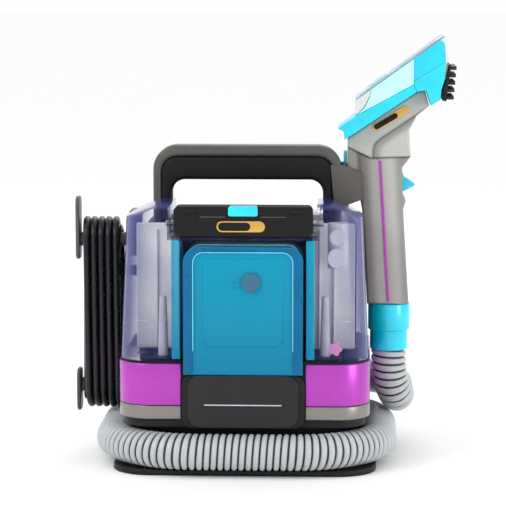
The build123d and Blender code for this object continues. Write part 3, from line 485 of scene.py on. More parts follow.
OLIVE = MouldedPlastic("olive_grey_plastic", (0.05, 0.052, 0.046), 0.4)
CORD_JACKET = MouldedPlastic("cord_jacket", (0.005, 0.006, 0.008), 0.28, Grain.SMOOTH, 0.12, 0.3)
BRISTLE = MouldedPlastic("bristle_nylon", (0.008, 0.008, 0.009), 0.36, Grain.SMOOTH)
WHITE_PRINT = MouldedPlastic("white_print", (0.6, 0.61, 0.62), 0.5)
PURPLE = SatinPaint("purple_satin_paint", (0.4, 0.035, 0.42), (0.6, 0.12, 0.6), 0.32)
SILVER = SatinPaint("silver_grey_paint", (0.2, 0.19, 0.175), (0.42, 0.4, 0.37), 0.33)
GOLD = SatinPaint("gold_paint", (0.62, 0.33, 0.05), (0.9, 0.62, 0.22), 0.25)
STEEL = PlainMetal("plated_steel", (0.55, 0.55, 0.55))
LAMINATION = PlainMetal("lamination_iron", (0.16, 0.16, 0.165), 0.45)
TANK_TINT = ClearPlastic("violet_tank_plastic", (0.07, 0.08, 0.3), (0.04, 0.045, 0.22), 0.06, 0.97, 0.11, 0.26)
CYAN_TINT = ClearPlastic("cyan_tank_plastic", (0.0, 0.37, 0.58), (0.0, 0.27, 0.47), 0.66, 0.96, 0.1, 0.22,
                          gloss=0.18)
CLEAR = ClearPlastic("clear_window_plastic", (0.5, 0.82, 0.88), (0.3, 0.66, 0.76), 0.2, 0.7, 0.36, 0.42, 0.06)
CAP_TINT = MouldedPlastic("teal_cap_plastic", (0.012, 0.12, 0.2), 0.3, Grain.SMOOTH, 0.2)
CELL_BACKING = MouldedPlastic("cell_backing_plastic", (0.02, 0.7, 0.95), 0.5)
# Pale line round the top and sides of the cyan tank's face: a painted highlight on its rounded corner.
CELL_PAINTED_HIGHLIGHT = MouldedPlastic("cell_painted_highlight", (0.16, 0.72, 0.92), 0.3)
CELL_EDGE = MouldedPlastic("cell_edge_plastic", (0.0, 0.12, 0.27), 0.3, Grain.SMOOTH, gloss=0.2)
CELL_SHADE = MouldedPlastic("cell_shade_plastic", (0.0, 0.3, 0.5), 0.5)
BOSS = MouldedPlastic("boss_plastic", (0.74, 0.75, 0.85), 0.4)
DEEP_CYAN = MouldedPlastic("deep_cyan_plastic", (0.0, 0.56, 0.78), 0.22, Grain.SMOOTH, 0.3)
HOSE_SKIN = RibbedHoseSkin("ribbed_hose_plastic", (0.45, 0.48, 0.49), (0.012, 0.012, 0.014))


class Palette:
    """Builds each finish once and dresses pieces in it."""

    def __init__(self) -> None:
        """Start with no materials."""
        self.made: dict[str, bpy.types.Material] = {}

    def dress(self, piece: bpy.types.Object, finish: Finish) -> None:
        """Give a piece one finish all over.

        Args:
            piece: The piece.
            finish: The finish, whose material is made on first use.
        """
        if finish.name not in self.made:
            self.made[finish.name] = finish.build()
        piece.data.materials.clear()
        piece.data.materials.append(self.made[finish.name])


PALETTE = Palette()


# ------------------------------------------------------------------ workbench
def facing(axis: Point | Vector) -> Euler:
    """Turn that brings +Z onto an axis."""
    return Vector(axis).to_track_quat("Z", "Y").to_euler()


class Bench:
    """Modelling moves that the sub-assemblies share."""

    @staticmethod
    def clear() -> None:
        """Deselect everything."""
        if bpy.context.object is not None and bpy.context.object.mode != "OBJECT":
            bpy.ops.object.mode_set(mode="OBJECT")
        for other in bpy.context.scene.objects:
            other.select_set(False)

    @staticmethod
    def pick(piece: bpy.types.Object) -> None:
        """Select one piece alone and make it active."""
        Bench.clear()
        piece.select_set(True)
        bpy.context.view_layer.objects.active = piece

    @staticmethod
    def place(name: str, data: bpy.types.ID) -> bpy.types.Object:
        """Put new data into the scene as an object of its own.

        Args:
            name: Name of the object.
            data: Its mesh, curve, light or camera.

        Returns:
            The new object.
        """
        made = bpy.data.objects.new(name, data)
        bpy.context.scene.collection.objects.link(made)
        return made

    @staticmethod
    def settle(piece: bpy.types.Object, name: str) -> bpy.types.Object:
        """Name a piece and put its place into its mesh."""
        Bench.pick(piece)
        bpy.ops.object.transform_apply(location=True, rotation=True, scale=True)
        piece.name = name
        piece.data.name = name
        return piece

    @staticmethod
    def round_edges(piece: bpy.types.Object, width: float, segments: int = 3, angle: float = SHARP_ANGLE) -> None:
        """Bevel the sharp edges and shade the piece smoothly.

        Args:
            piece: The piece.
            width: Width of the bevel in metres.
            segments: Steps of the bevel.
            angle: Least angle of a bevelled edge in radians.
        """
        Bench.pick(piece)
        if width > 0:
            bevel = piece.modifiers.new("edge", "BEVEL")
            bevel.width = width
            bevel.segments = segments
            bevel.limit_method = "ANGLE"
            bevel.angle_limit = angle
            bevel.harden_normals = False
            bpy.ops.object.modifier_apply(modifier=bevel.name)
        bpy.ops.object.shade_smooth_by_angle(angle=SMOOTH_ANGLE)

    @staticmethod
    def block(name: str, low: Point, high: Point, width: float = 0.0006) -> bpy.types.Object:
        """Rounded block between two corners.

        Args:
            name: Name of the piece.
            low: Lowest corner.
            high: Highest corner.
            width: Edge rounding in metres.

        Returns:
            The new piece.
        """
        Bench.clear()
        middle = [(a + b) / 2 for a, b in zip(low, high)]
        bpy.ops.mesh.primitive_cube_add(size=1.0, location=middle)
        piece = bpy.context.object
        piece.scale = [b - a for a, b in zip(low, high)]
        Bench.settle(piece, name)
        Bench.round_edges(piece, width)
        return piece

    @staticmethod
    def disc(name: str, centre: Point, axis: Point, radius: float, depth: float,
             width: float = 0.0004, sides: int = 48) -> bpy.types.Object:
        """Rounded disc or rod about a centre.

        Args:
            name: Name of the piece.
            centre: Middle of the disc.
            axis: Direction of its axis.
            radius: Radius in metres.
            depth: Length along the axis in metres.
            width: Edge rounding in metres.
            sides: Sides of the circle.

        Returns:
            The new piece.
        """
        Bench.clear()
        bpy.ops.mesh.primitive_cylinder_add(vertices=sides, radius=radius, depth=depth, location=centre,
                                            rotation=facing(axis))
        piece = Bench.settle(bpy.context.object, name)
        Bench.round_edges(piece, width)
        return piece

    @staticmethod
    def ring(name: str, centre: Point, axis: Point, radius: float, thick: float) -> bpy.types.Object:
        """Round ring about an axis.

        Args:
            name: Name of the piece.
            centre: Middle of the ring.
            axis: Direction of its axis.
            radius: Radius of its centre line.
            thick: Radius of its section.

        Returns:
            The new piece.
        """
        Bench.clear()
        bpy.ops.mesh.primitive_torus_add(major_segments=56, minor_segments=10, major_radius=radius,
                                         minor_radius=thick, location=centre, rotation=facing(axis))
        piece = Bench.settle(bpy.context.object, name)
        Bench.round_edges(piece, 0.0)
        return piece

    @staticmethod
    def prism(name: str, outline: list[tuple[float, float]], front: float, back: float,
              width: float = 0.0006) -> bpy.types.Object:
        """Slab whose outline stands in the XZ plane, extruded from front to back.

        Args:
            name: Name of the piece.
            outline: Corners as X and Z in metres.
            front: Y of the front face.
            back: Y of the back face.
            width: Edge rounding in metres.

        Returns:
            The new piece.
        """
        mesh = bpy.data.meshes.new(name)
        mesh.from_pydata([(x, front, z) for x, z in outline], [], [tuple(range(len(outline)))])
        piece = Bench.place(name, mesh)
        Bench.pick(piece)
        bpy.ops.object.mode_set(mode="EDIT")
        bpy.ops.mesh.select_all(action="SELECT")
        bpy.ops.mesh.extrude_region_move(TRANSFORM_OT_translate={"value": (0.0, back - front, 0.0)})
        bpy.ops.mesh.select_all(action="SELECT")
        bpy.ops.mesh.normals_make_consistent(inside=False)
        bpy.ops.object.mode_set(mode="OBJECT")
        Bench.round_edges(piece, width)
        return piece

    @staticmethod
    def pill(name: str, centre: Point, half: float, radius: float, depth: float, tilt: float = 0.0
             ) -> bpy.types.Object:
        """Thin capsule plate facing the front.

        Args:
            name: Name of the piece.
            centre: Middle of the plate.
            half: Half of its overall length.
            radius: Radius of its ends.
            depth: Thickness.
            tilt: Turn about Y in radians, raising its +X end.

        Returns:
            The new piece.
        """
        outline = []
        for side in (1, -1):
            for step in range(ARC_STEPS + 1):
                angle = math.pi * step / ARC_STEPS - math.pi / 2
                x = side * (half - radius + radius * math.cos(angle))
                z = side * radius * math.sin(angle)
                outline.append((centre[0] + x * math.cos(tilt) - z * math.sin(tilt),
                                centre[2] + x * math.sin(tilt) + z * math.cos(tilt)))
        return Bench.prism(name, outline, centre[1] - depth / 2, centre[1] + depth / 2, 0.0002)

    @staticmethod
    def refined(node: str, name: str, width: float, segments: int = 3,
                angle: float = SHARP_ANGLE) -> bpy.types.Object:
        """Copy a frame node, merge and round it, and let the copy stand for it.

        Args:
            node: Name of the frame node.
            name: Name of the new piece.
            width: Edge rounding in metres.
            segments: Steps of the rounding.
            angle: Least angle of a rounded edge in radians.

        Returns:
            The new piece, riding on the node's body.
        """
        source = frame["nodes"][node]
        piece = Bench.place(name, source.data.copy())
        piece.data.name = name
        Bench.pick(piece)
        bpy.ops.object.mode_set(mode="EDIT")
        bpy.ops.mesh.select_all(action="SELECT")
        bpy.ops.mesh.remove_doubles(threshold=MERGE_DISTANCE)
        bpy.ops.mesh.dissolve_limited(angle_limit=FLAT_ANGLE)
        bpy.ops.object.mode_set(mode="OBJECT")
        Bench.round_edges(piece, width, segments, angle)
        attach(piece, source["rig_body"])
        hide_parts(node)
        return piece


@dataclass
class SubAssembly:
    """A group of pieces that are built and dressed together."""

    def keep(self, piece: bpy.types.Object, finish: Finish, body: str | None = None,
             slot: str | None = None) -> bpy.types.Object:
        """Dress a piece, let it ride and report it.

        Args:
            piece: The piece.
            finish: Its finish.
            body: Body that it rides on, if it rides on none yet.
            slot: Material slot of the record; not used.

        Returns:
            The same piece.
        """
        PALETTE.dress(piece, finish)
        if body is not None:
            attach(piece, body)
        LOG.info("made %s", piece.name)
        return piece

    def refine(self, node: str, finish: Finish, slot: str, width: float = 0.8, segments: int = 3,
               angle: float = SHARP_ANGLE) -> bpy.types.Object:
        """Stand a rounded copy in for a frame node.

        Args:
            node: Name of the frame node.
            finish: Its finish.
            slot: Material slot of the record; not used.
            width: Edge rounding in millimetres.
            segments: Steps of the rounding.
            angle: Least angle of a rounded edge in radians.

        Returns:
            The new piece.
        """
        piece = Bench.refined(node, f"{node}_skin", width * MM, segments, angle)
        return self.keep(piece, finish, slot=slot)


# ------------------------------------------------------------------ cord and hose
def spline_curve(name: str, points: list[Point], radius: float) -> bpy.types.Object:
    """Open NURBS curve with a round section.

    Args:
        name: Name of the piece.
        points: Control points in metres.
        radius: Radius of the section, or 0 for a bare line.

    Returns:
        The curve's object.
    """
    curve = bpy.data.curves.new(name, "CURVE")
    curve.dimensions = "3D"
    spline = curve.splines.new("NURBS")
    spline.points.add(len(points) - 1)
    for knot, point in zip(spline.points, points):
        knot.co = (*point, 1.0)
    spline.order_u = 3
    spline.use_endpoint_u = True
    spline.resolution_u = 8
    curve.bevel_depth = radius
    curve.bevel_resolution = 5
    curve.use_fill_caps = radius > 0
    return Bench.place(name, curve)


def line_points(points: list[Point]) -> list[Vector]:
    """Points along the NURBS line of a route.

    Args:
        points: Control points in metres.

    Returns:
        Points read from the curve, in order.
    """
    guide = spline_curve("route_guide", points, 0.0)
    guide.data.splines[0].resolution_u = 24
    bpy.context.view_layer.update()
    mesh = bpy.data.meshes.new_from_object(guide.evaluated_get(bpy.context.evaluated_depsgraph_get()))
    found = [vertex.co.copy() for vertex in mesh.vertices]
    bpy.data.meshes.remove(mesh)
    bpy.data.objects.remove(guide)
    return found


def walk(line: list[Vector], step: float) -> list[tuple[Vector, Vector, float]]:
    """Even stations along a line.

    Args:
        line: Points of the line.
        step: Distance between stations.

    Returns:
        Place, direction and distance from the start of each station.
    """
    marks = [0.0]
    for before, after in zip(line, line[1:]):
        marks.append(marks[-1] + (after - before).length)
    count = max(2, round(marks[-1] / step))
    stations = []
    index = 0
    for number in range(count + 1):
        target = marks[-1] * number / count
        while index < len(line) - 2 and marks[index + 1] < target:
            index += 1
        share = (target - marks[index]) / max(1e-9, marks[index + 1] - marks[index])
        place = line[index].lerp(line[index + 1], share)
        stations.append([place, Vector(), target])
    for number, station in enumerate(stations):
        before = stations[max(0, number - 1)][0]
        after = stations[min(count, number + 1)][0]
        station[1] = (after - before).normalized()
    return [tuple(station) for station in stations]


@dataclass
class SuctionHose(SubAssembly):
    """Corrugated hose from the rear port, once round the base and up to the wand."""

    diameter: float = 0.035
    pitch: float = 0.0067
    rings_per_rib: int = 12
    sides: int = 30
    groove_depth: float = 0.0026
    loop_x: float = 0.131
    loop_y: float = 0.115
    turn: float = 0.050
    low_z: float = 0.024
    high_z: float = 0.060
    riser_x: float = 0.150
    riser_z: float = 0.054
    collar: Point = (0.1405, 0.004, 0.1061)

    def route(self) -> list[Point]:
        """Control points from the rear port to the wand's collar, in metres.

        Returns:
            The points of the route.
        """
        across, along, low, high = self.loop_x, self.loop_y, self.low_z, self.high_z
        side_start, front_start = along - self.turn, across - self.turn
        return [(0.030, along, low), (front_start, along, low), (across, side_start, low), (across, 0.0, low),
                (across, -side_start, low), (front_start, -along, low), (0.0, -along, low),
                (-front_start, -along, low), (-across, -side_start, low), (-across, 0.0, low),
                (-across, 0.068, low + 0.0005), (-0.092, along, low + 0.006), (-0.040, along + 0.001, high),
                (0.020, along + 0.0015, high), (0.078, along + 0.002, high), (0.120, along + 0.002, high),
                (self.riser_x - 0.002, 0.086, high), (self.riser_x - 0.001, 0.054, (high + self.riser_z) / 2),
                (self.riser_x, 0.022, self.riser_z), (self.collar[0], self.collar[1], 0.077), self.collar]

    def build(self) -> None:
        line = line_points(self.route())
        stations = walk(line, self.pitch / self.rings_per_rib)
        vertices: list[Point] = []
        grooves: list[float] = []
        up = Vector((0.0, 0.0, 1.0))
        side = stations[0][1].cross(up).normalized()
        for place, ahead, distance in stations:
            side = (side - ahead * side.dot(ahead)).normalized()
            other = ahead.cross(side)
            for corner in range(self.sides):
                angle = math.tau * corner / self.sides
                phase = distance / self.pitch + corner / self.sides
                groove = (0.5 + 0.5 * math.cos(math.tau * phase)) ** 3
                radius = self.diameter / 2 - self.groove_depth * groove
                spot = place + (side * math.cos(angle) + other * math.sin(angle)) * radius
                vertices.append(tuple(spot))
                grooves.append(groove)
        faces = []
        for ring in range(len(stations) - 1):
            for corner in range(self.sides):
                right = (corner + 1) % self.sides
                low, high = ring * self.sides, (ring + 1) * self.sides
                faces.append((low + corner, low + right, high + right, high + corner))
        last = (len(stations) - 1) * self.sides
        faces.append(tuple(reversed(range(self.sides))))
        faces.append(tuple(range(last, last + self.sides)))
        mesh = bpy.data.meshes.new("suction_hose")
        mesh.from_pydata(vertices, [], faces)
        mesh.attributes.new("groove", "FLOAT", "POINT").data.foreach_set("value", grooves)
        mesh.shade_smooth()
        hose = Bench.place("suction_hose", mesh)
        Bench.pick(hose)
        bpy.ops.object.mode_set(mode="EDIT")
        bpy.ops.mesh.select_all(action="SELECT")
        bpy.ops.mesh.normals_make_consistent(inside=False)
        bpy.ops.object.mode_set(mode="OBJECT")
        self.keep(hose, HOSE_SKIN, slot="hose_grey")
        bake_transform(hose)
        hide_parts("hose_loop", "hose_riser")


@dataclass
class PowerCord(SubAssembly):
    """Mains cord from its gland, wound on the two hooks, and its plug."""

    diameter: float = 0.007
    hook_y: float = 0.014
    top_z: float = 0.214
    low_z: float = 0.066
    inner_radius: float = 0.0115
    layer: float = 0.0073
    inner_x: tuple[float, float] = (-0.1640, -0.1285)
    outer_x: tuple[float, float] = (-0.1280, -0.1645)
    inner_turns: int = 6
    outer_turns: int = 5
    arc_points: int = 7
    run_low: float = 0.115
    run_high: float = 0.165
    outer_share: float = 0.889

    def leave(self) -> list[Point]:
        """Control points from the gland to the winding.

        Returns:
            The points in metres.
        """
        return [(-0.133, 0.062, 0.176), (-0.148, 0.062, 0.175), (-0.154, 0.056, 0.156), (-0.154, 0.045, 0.132)]

    def lead(self) -> list[Point]:
        """Control points from the winding to the plug.

        Returns:
            The points in metres.
        """
        return [(-0.137, 0.037, 0.158), (-0.137, 0.041, 0.138), (-0.137, 0.048, 0.120), (-0.137, 0.050, 0.104)]

    def turns(self, ends: tuple[float, float], count: int, radius: float, share: float) -> list[Point]:
        """Control points of one wound layer, each turn down the back and up the front.

        Args:
            ends: First and last X of the layer.
            count: Number of turns.
            radius: Radius round a hook.
            share: Share of the last turn that is wound.

        Returns:
            The points in metres.
        """
        # Control points of a quadratic spline stand a little outside the arc that they shape.
        reach = radius / math.cos(math.pi / (2 * (self.arc_points - 1))) ** 2
        points: list[Point] = []
        loop: list[tuple[float, float]] = []
        for step in range(self.arc_points):
            angle = math.pi * step / (self.arc_points - 1)
            loop.append((self.hook_y + reach * math.cos(angle), self.low_z - reach * math.sin(angle)))
        loop.append((self.hook_y - reach, self.run_low))
        loop.append((self.hook_y - reach, self.run_high))
        for step in range(self.arc_points):
            angle = math.pi * step / (self.arc_points - 1)
            loop.append((self.hook_y - reach * math.cos(angle), self.top_z + reach * math.sin(angle)))
        loop.append((self.hook_y + reach, self.run_high))
        loop.append((self.hook_y + reach, self.run_low))
        total = round(count * len(loop) - (1 - share) * len(loop))
        for number in range(total):
            y, z = loop[number % len(loop)]
            x = ends[0] + (ends[1] - ends[0]) * number / (count * len(loop))
            points.append((x, y, z))
        return points

    def build(self) -> None:
        gland = self.refine("cord_gland", CORD_JACKET, "cord_black", 0.3, 2)
        plug = self.refine("power_plug", CORD_JACKET, "cord_black", 1.0, 3)
        inner = self.turns(self.inner_x, self.inner_turns, self.inner_radius, 1.0)
        outer = self.turns(self.outer_x, self.outer_turns, self.inner_radius + self.layer, self.outer_share)
        points = self.leave() + inner + outer + self.lead()
        cord = spline_curve("power_cord_winding", points, self.diameter / 2)
        self.keep(cord, CORD_JACKET, "chassis", "cord_black")
        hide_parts("power_cord", "cord_hank", "plug_lead")
        line = line_points(points)


# ------------------------------------------------------------------ sub-assemblies
@dataclass
class Base(SubAssembly):
    """Base tray, body shells and the bands round them."""

    def build(self) -> None:
        """Stand the shells and bands in for their frame nodes."""
        self.refine("base_tray", BLACK_SHELL, "black_plastic", 1.6)
        self.refine("rubber_feet", SOFT_BLACK, "rubber", 0.3)
        self.refine("lower_shell", BLACK_SHELL, "black_plastic", 1.2)
        self.refine("upper_shell", BLACK_SHELL, "black_plastic", 0.5)
        self.refine("deck_plate", BLACK_SHELL, "black_plastic", 0.4)
        self.refine("trim_bands", SILVER, "metallic_trim", 1.1)
        self.refine("accent_bands", PURPLE, "purple_satin", 1.2)
        self.refine("hose_port", BLACK_SHELL, "black_plastic", 1.0)
        self.refine("circuit_board", BOARD_GREEN, "board", 0.2)
        self.refine("water_pump", PALE_GREY, "pale_plastic", 1.0)


@dataclass
class FrontPanel(SubAssembly):
    """Bezel and nameplate with a plain printed rule."""

    rule_half: float = 0.037
    rule_low: float = 0.0688
    rule_high: float = 0.0698
    rule_proud: float = 0.0003
    rule_sunk: float = 0.0004
    rule_edge: float = 0.0001

    def build(self) -> None:
        """Stand the panel in and add its rule."""
        self.refine("front_bezel", BLACK_SHELL, "black_plastic", 1.2)
        self.refine("nameplate", GLOSS_BLACK, "panel_gloss", 0.9)
        low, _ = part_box("nameplate")
        rule = Bench.block("panel_rule", (-self.rule_half, low.y - self.rule_proud, self.rule_low),
                           (self.rule_half, low.y + self.rule_sunk, self.rule_high), self.rule_edge)
        self.keep(rule, WHITE_PRINT, "chassis")


@dataclass
class RearBody(SubAssembly):
    """Rear housing, its vented cover, the motor and the power button."""

    def build(self) -> None:
        """Stand the housing and the motor in for their frame nodes."""
        self.refine("rear_housing", BLACK_SHELL, "black_plastic", 1.2)
        self.refine("rear_cover", BLACK_SHELL, "black_plastic", 0.7)
        self.refine("cover_screws", STEEL, "steel", 0.25)
        self.refine("power_button", CYAN, "cyan_plastic", 0.5)
        self.refine("motor_can", STEEL, "steel", 0.8)
        self.refine("motor_stator", LAMINATION, "laminations", 0.5)
        self.refine("motor_armature", LAMINATION, "laminations", 0.4)
        self.refine("fan_impeller", PALE_GREY, "pale_plastic", 0.3)


@dataclass
class RecoveryTank(SubAssembly):
    """Violet-tinted tank, its lid, liner, float, knob and swing handle."""

    liner_near: float = 0.0645
    liner_far: float = 0.1065
    liner_top: float = 0.238
    rib_places: tuple[float, float] = (0.072, 0.086)
    rib_half: float = 0.0012
    rib_top: float = 0.232
    level: float = 0.1490
    level_inset: float = 0.004
    bosses: tuple[tuple[float, float], ...] = ((0.2290, 0.0078), (0.2090, 0.0098))
    boss_x: float = 0.0895
    boss_y: float = -0.0965
    hinge_x: float = 0.050
    hinge_z: float = 0.2548
    hinge_radius: float = 0.0028
    rail_near: float = 0.017
    rail_far: float = 0.041
    rail_z: float = 0.2492

    def build(self) -> None:
        """Stand the tank's pieces in and add its liners, bosses and handle details."""
        self.refine("tank_shell", TANK_TINT, "tank_tint", 0.8, 3, 0.7)
        self.refine("tank_lid", BLACK_SHELL, "black_plastic", 1.0)
        self.refine("guide_strips", CYAN_TINT, "cyan_clear", 0.4)
        self.refine("standpipes", PALE_GREY, "pale_plastic", 0.6)
        self.refine("float_cage", PALE_GREY, "pale_plastic", 0.4)
        self.refine("float_ball", PALE_GREY, "pale_plastic", 0.0)
        self.refine("drain_knob", PINK, "pink_plastic", 0.6)
        self.refine("handle_pins", STEEL, "steel", 0.3)
        self.refine("tank_handle", SOFT_BLACK, "black_plastic", 1.0)
        self.refine("release_button", CYAN, "cyan_plastic", 0.8)
        self.refine("tank_badge", GOLD, "gold", 0.3)
        self.liners()
        self.moulded_details()
        self.bar_details()

    def liners(self) -> None:
        """Add the pale inner walls that show through the tint, each with two raised ribs and a level line."""
        low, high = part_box("tank_shell")
        for side, name in ((-1, "left"), (1, "right")):
            ends = sorted((side * self.liner_near, side * self.liner_far))
            liner = Bench.block(f"tank_liner_{name}", (ends[0], high.y - 0.034, low.z + 0.004),
                                (ends[1], high.y - 0.030, self.liner_top), 0.0018)
            self.keep(liner, LINER, "recovery_tank", "pale_plastic")
            for number, across in enumerate(self.rib_places):
                middle = side * across
                rib = Bench.block(f"tank_rib_{name}_{number}",
                                  (middle - self.rib_half, high.y - 0.0365, low.z + 0.006),
                                  (middle + self.rib_half, high.y - 0.0335, self.rib_top), 0.0009)
                self.keep(rib, PALE_GREY, "recovery_tank", "pale_plastic")
            rule = Bench.block(f"level_line_{name}", (ends[0] + self.level_inset, low.y + 0.0030, self.level),
                               (ends[1] - self.level_inset, low.y + 0.0036, 0.1496), 0.0002)
            self.keep(rule, PALE_GREY, "recovery_tank", "pale_plastic")

    def moulded_details(self) -> None:
        """Add the round bosses moulded into the right side of the tank."""
        for number, (height, radius) in enumerate(self.bosses):
            boss = Bench.disc(f"float_boss_{number}", (self.boss_x, self.boss_y, height), (0.0, 1.0, 0.0), radius,
                              0.0030, 0.0012)
            self.keep(boss, BOSS, "recovery_tank", "pale_plastic")

    def bar_details(self) -> None:
        """Add the badge's dark inset, the hinge barrels and the rails of the swing handle."""
        low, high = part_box("tank_badge")
        middle = (low + high) / 2
        inset = Bench.pill("badge_inset", (middle.x - 0.0062, low.y - 0.0001, middle.z), 0.0153, 0.0040, 0.0006)
        self.keep(inset, SOFT_BLACK, "tank_bail")
        low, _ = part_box("tank_handle")
        for side, name in ((-1, "left"), (1, "right")):
            barrel = Bench.disc(f"hinge_barrel_{name}", (side * self.hinge_x, low.y + 0.0008, self.hinge_z),
                                (1.0, 0.0, 0.0), self.hinge_radius, 0.013, 0.0004, 24)
            self.keep(barrel, SOFT_BLACK, "tank_bail", "black_plastic")
            ends = sorted((side * self.rail_near, side * self.rail_far))
            rail = Bench.block(f"bar_rail_{name}", (ends[0], low.y - 0.0006, self.rail_z),
                               (ends[1], low.y + 0.0010, 0.2502), 0.0002)
            self.keep(rail, OLIVE, "tank_bail", "black_plastic")


@dataclass
class SolutionTank(SubAssembly):
    """Cyan front tank with its round cap."""

    backing_half: float = 0.0478
    rib_places: tuple[float, float] = (-0.0262, 0.0245)
    rib_half: float = 0.0016
    shelf_half: float = 0.036
    vent_x: float = -0.0086
    vent_z: float = 0.188
    border_foot: float = 0.1000
    highlight_foot: float = 0.1215

    def build(self) -> None:
        """Stand the tank and its cap in, and add its backing, ribs, shelf, rim with its painted highlight line, and
        vent.
        """
        self.refine("solution_tank", CYAN_TINT, "cyan_clear", 1.2)
        self.refine("fill_cap", CAP_TINT, "panel_gloss", 0.5)
        low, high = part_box("solution_tank")
        backing = Bench.block("cell_backing", (-self.backing_half, high.y - 0.0046, 0.117),
                              (self.backing_half, high.y - 0.0028, 0.2155))
        self.keep(backing, CELL_BACKING, "solution_cell", "cyan_plastic")
        for number, across in enumerate(self.rib_places):
            rib = Bench.block(f"cell_rib_{number}", (across - self.rib_half, high.y - 0.0082, 0.124),
                              (across + self.rib_half, high.y - 0.0042, 0.204), 0.0012)
            self.keep(rib, CELL_BACKING, "solution_cell", "cyan_plastic")
        shelf = Bench.block("cell_shelf", (-self.shelf_half, high.y - 0.0078, 0.1282),
                            (self.shelf_half, high.y - 0.0042, 0.1322), 0.0012)
        self.keep(shelf, CELL_SHADE, "solution_cell", "cyan_plastic")
        self.rim(low.y)
        dot = Bench.disc("cell_vent", (self.vent_x, low.y - 0.0002, self.vent_z), (0.0, 1.0, 0.0), 0.0012, 0.0008,
                         0.0002, 24)
        self.keep(dot, CAP_TINT, "solution_cell")
        ring = Bench.ring("cell_vent_ring", (self.vent_x, low.y + 0.0001, self.vent_z), (0.0, 1.0, 0.0), 0.0068,
                          0.0004)
        self.keep(ring, CYAN_TINT, "solution_cell", "cyan_clear")

    @staticmethod
    def arch(half: float, top: float, radius: float, foot: float) -> list[tuple[float, float]]:
        """Line up one side, over the top and down the other side.

        Args:
            half: Half of its width.
            top: Height of its top.
            radius: Radius of its corners.
            foot: Height of its feet.

        Returns:
            Points as X and Z, from the right foot to the left foot.
        """
        turns = [math.radians(90.0 / ARC_STEPS * step) for step in range(ARC_STEPS + 1)]
        right = [(half, foot)] + [(half - radius + radius * math.cos(turn), top - radius + radius * math.sin(turn))
                                   for turn in turns]
        return right + [(-across, height) for across, height in reversed(right)]

    def rim(self, front: float) -> None:
        """Add the deep border, and the pale raised line round the top and sides of the tank's face, which is a
        painted highlight on its rounded corner.

        Args:
            front: Y of the tank's front face.
        """
        foot = self.border_foot
        border = self.arch(0.0567, 0.2207, 0.0147, foot) + self.arch(0.0484, 0.2171, 0.0111, foot)[::-1]
        edge = Bench.prism("cell_edge", border, front - 0.0002, front + 0.0010, 0.0002)
        self.keep(edge, CELL_EDGE, "solution_cell", "cyan_plastic")
        # The pale line is a painted highlight on the rounded corner of the tank's face.
        foot = self.highlight_foot
        outline = self.arch(0.0480, 0.2167, 0.0107, foot) + self.arch(0.0472, 0.2159, 0.0099, foot)[::-1]
        line = Bench.prism("cell_highlight_line", outline, front - 0.0003, front + 0.0012, 0.0002)
        self.keep(line, CELL_PAINTED_HIGHLIGHT, "solution_cell", "cyan_plastic")


@dataclass
class CarryHandle(SubAssembly):
    """Carry handle, wand cradle and cord hooks."""

    def build(self) -> None:
        """Stand the handle's pieces in for their frame nodes."""
        self.refine("handle_frame", HANDLE_GREY, "handle_grey", 3.2, 5)
        self.refine("handle_grip", SOFT_BLACK, "grip_black", 4.0, 5)
        self.refine("wand_cradle", HANDLE_GREY, "handle_grey", 1.0)
        self.refine("hook_bracket", HANDLE_GREY, "handle_grey", 1.0)
        self.refine("upper_cord_hook", HANDLE_GREY, "handle_grey", 1.4)
        self.refine("lower_cord_hook", OLIVE, "olive_grey", 1.4)


@dataclass
class HandWand(SubAssembly):
    """Docked spray wand with its collar, trigger and latch."""

    badge_run: float = 0.86
    badge_rise: float = 0.51
    inset_shift: float = 0.0055

    def build(self) -> None:
        """Stand the wand's pieces in for their frame nodes."""
        for half in ("grip_front", "grip_rear"):
            self.refine(half, GRIP_PAINTED_SHADE, "wand_grey", 0.5, 2)
        self.refine("wand_stripe", PURPLE, "purple_satin", 0.2)
        self.refine("suction_tube", PALE_GREY, "pale_plastic", 0.3)
        self.refine("wand_head", HEAD_PAINTED_SHADE, "wand_grey", 0.8)
        self.refine("wand_badge", GOLD, "gold", 0.3)
        self.refine("hose_collar", CYAN, "cyan_plastic", 1.0)
        self.refine("trigger", CYAN, "cyan_plastic", 0.8)
        self.refine("tool_latch", CYAN, "cyan_plastic", 0.5)
        low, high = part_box("wand_badge")
        tilt = math.atan2(self.badge_rise, self.badge_run)
        middle = (low + high) / 2
        centre = (middle.x - self.inset_shift * math.cos(tilt), low.y - 0.0001,
                  middle.z - self.inset_shift * math.sin(tilt))
        inset = Bench.pill("wand_badge_inset", centre, 0.0132, 0.0028, 0.0005, tilt)
        self.keep(inset, SOFT_BLACK, "wand")


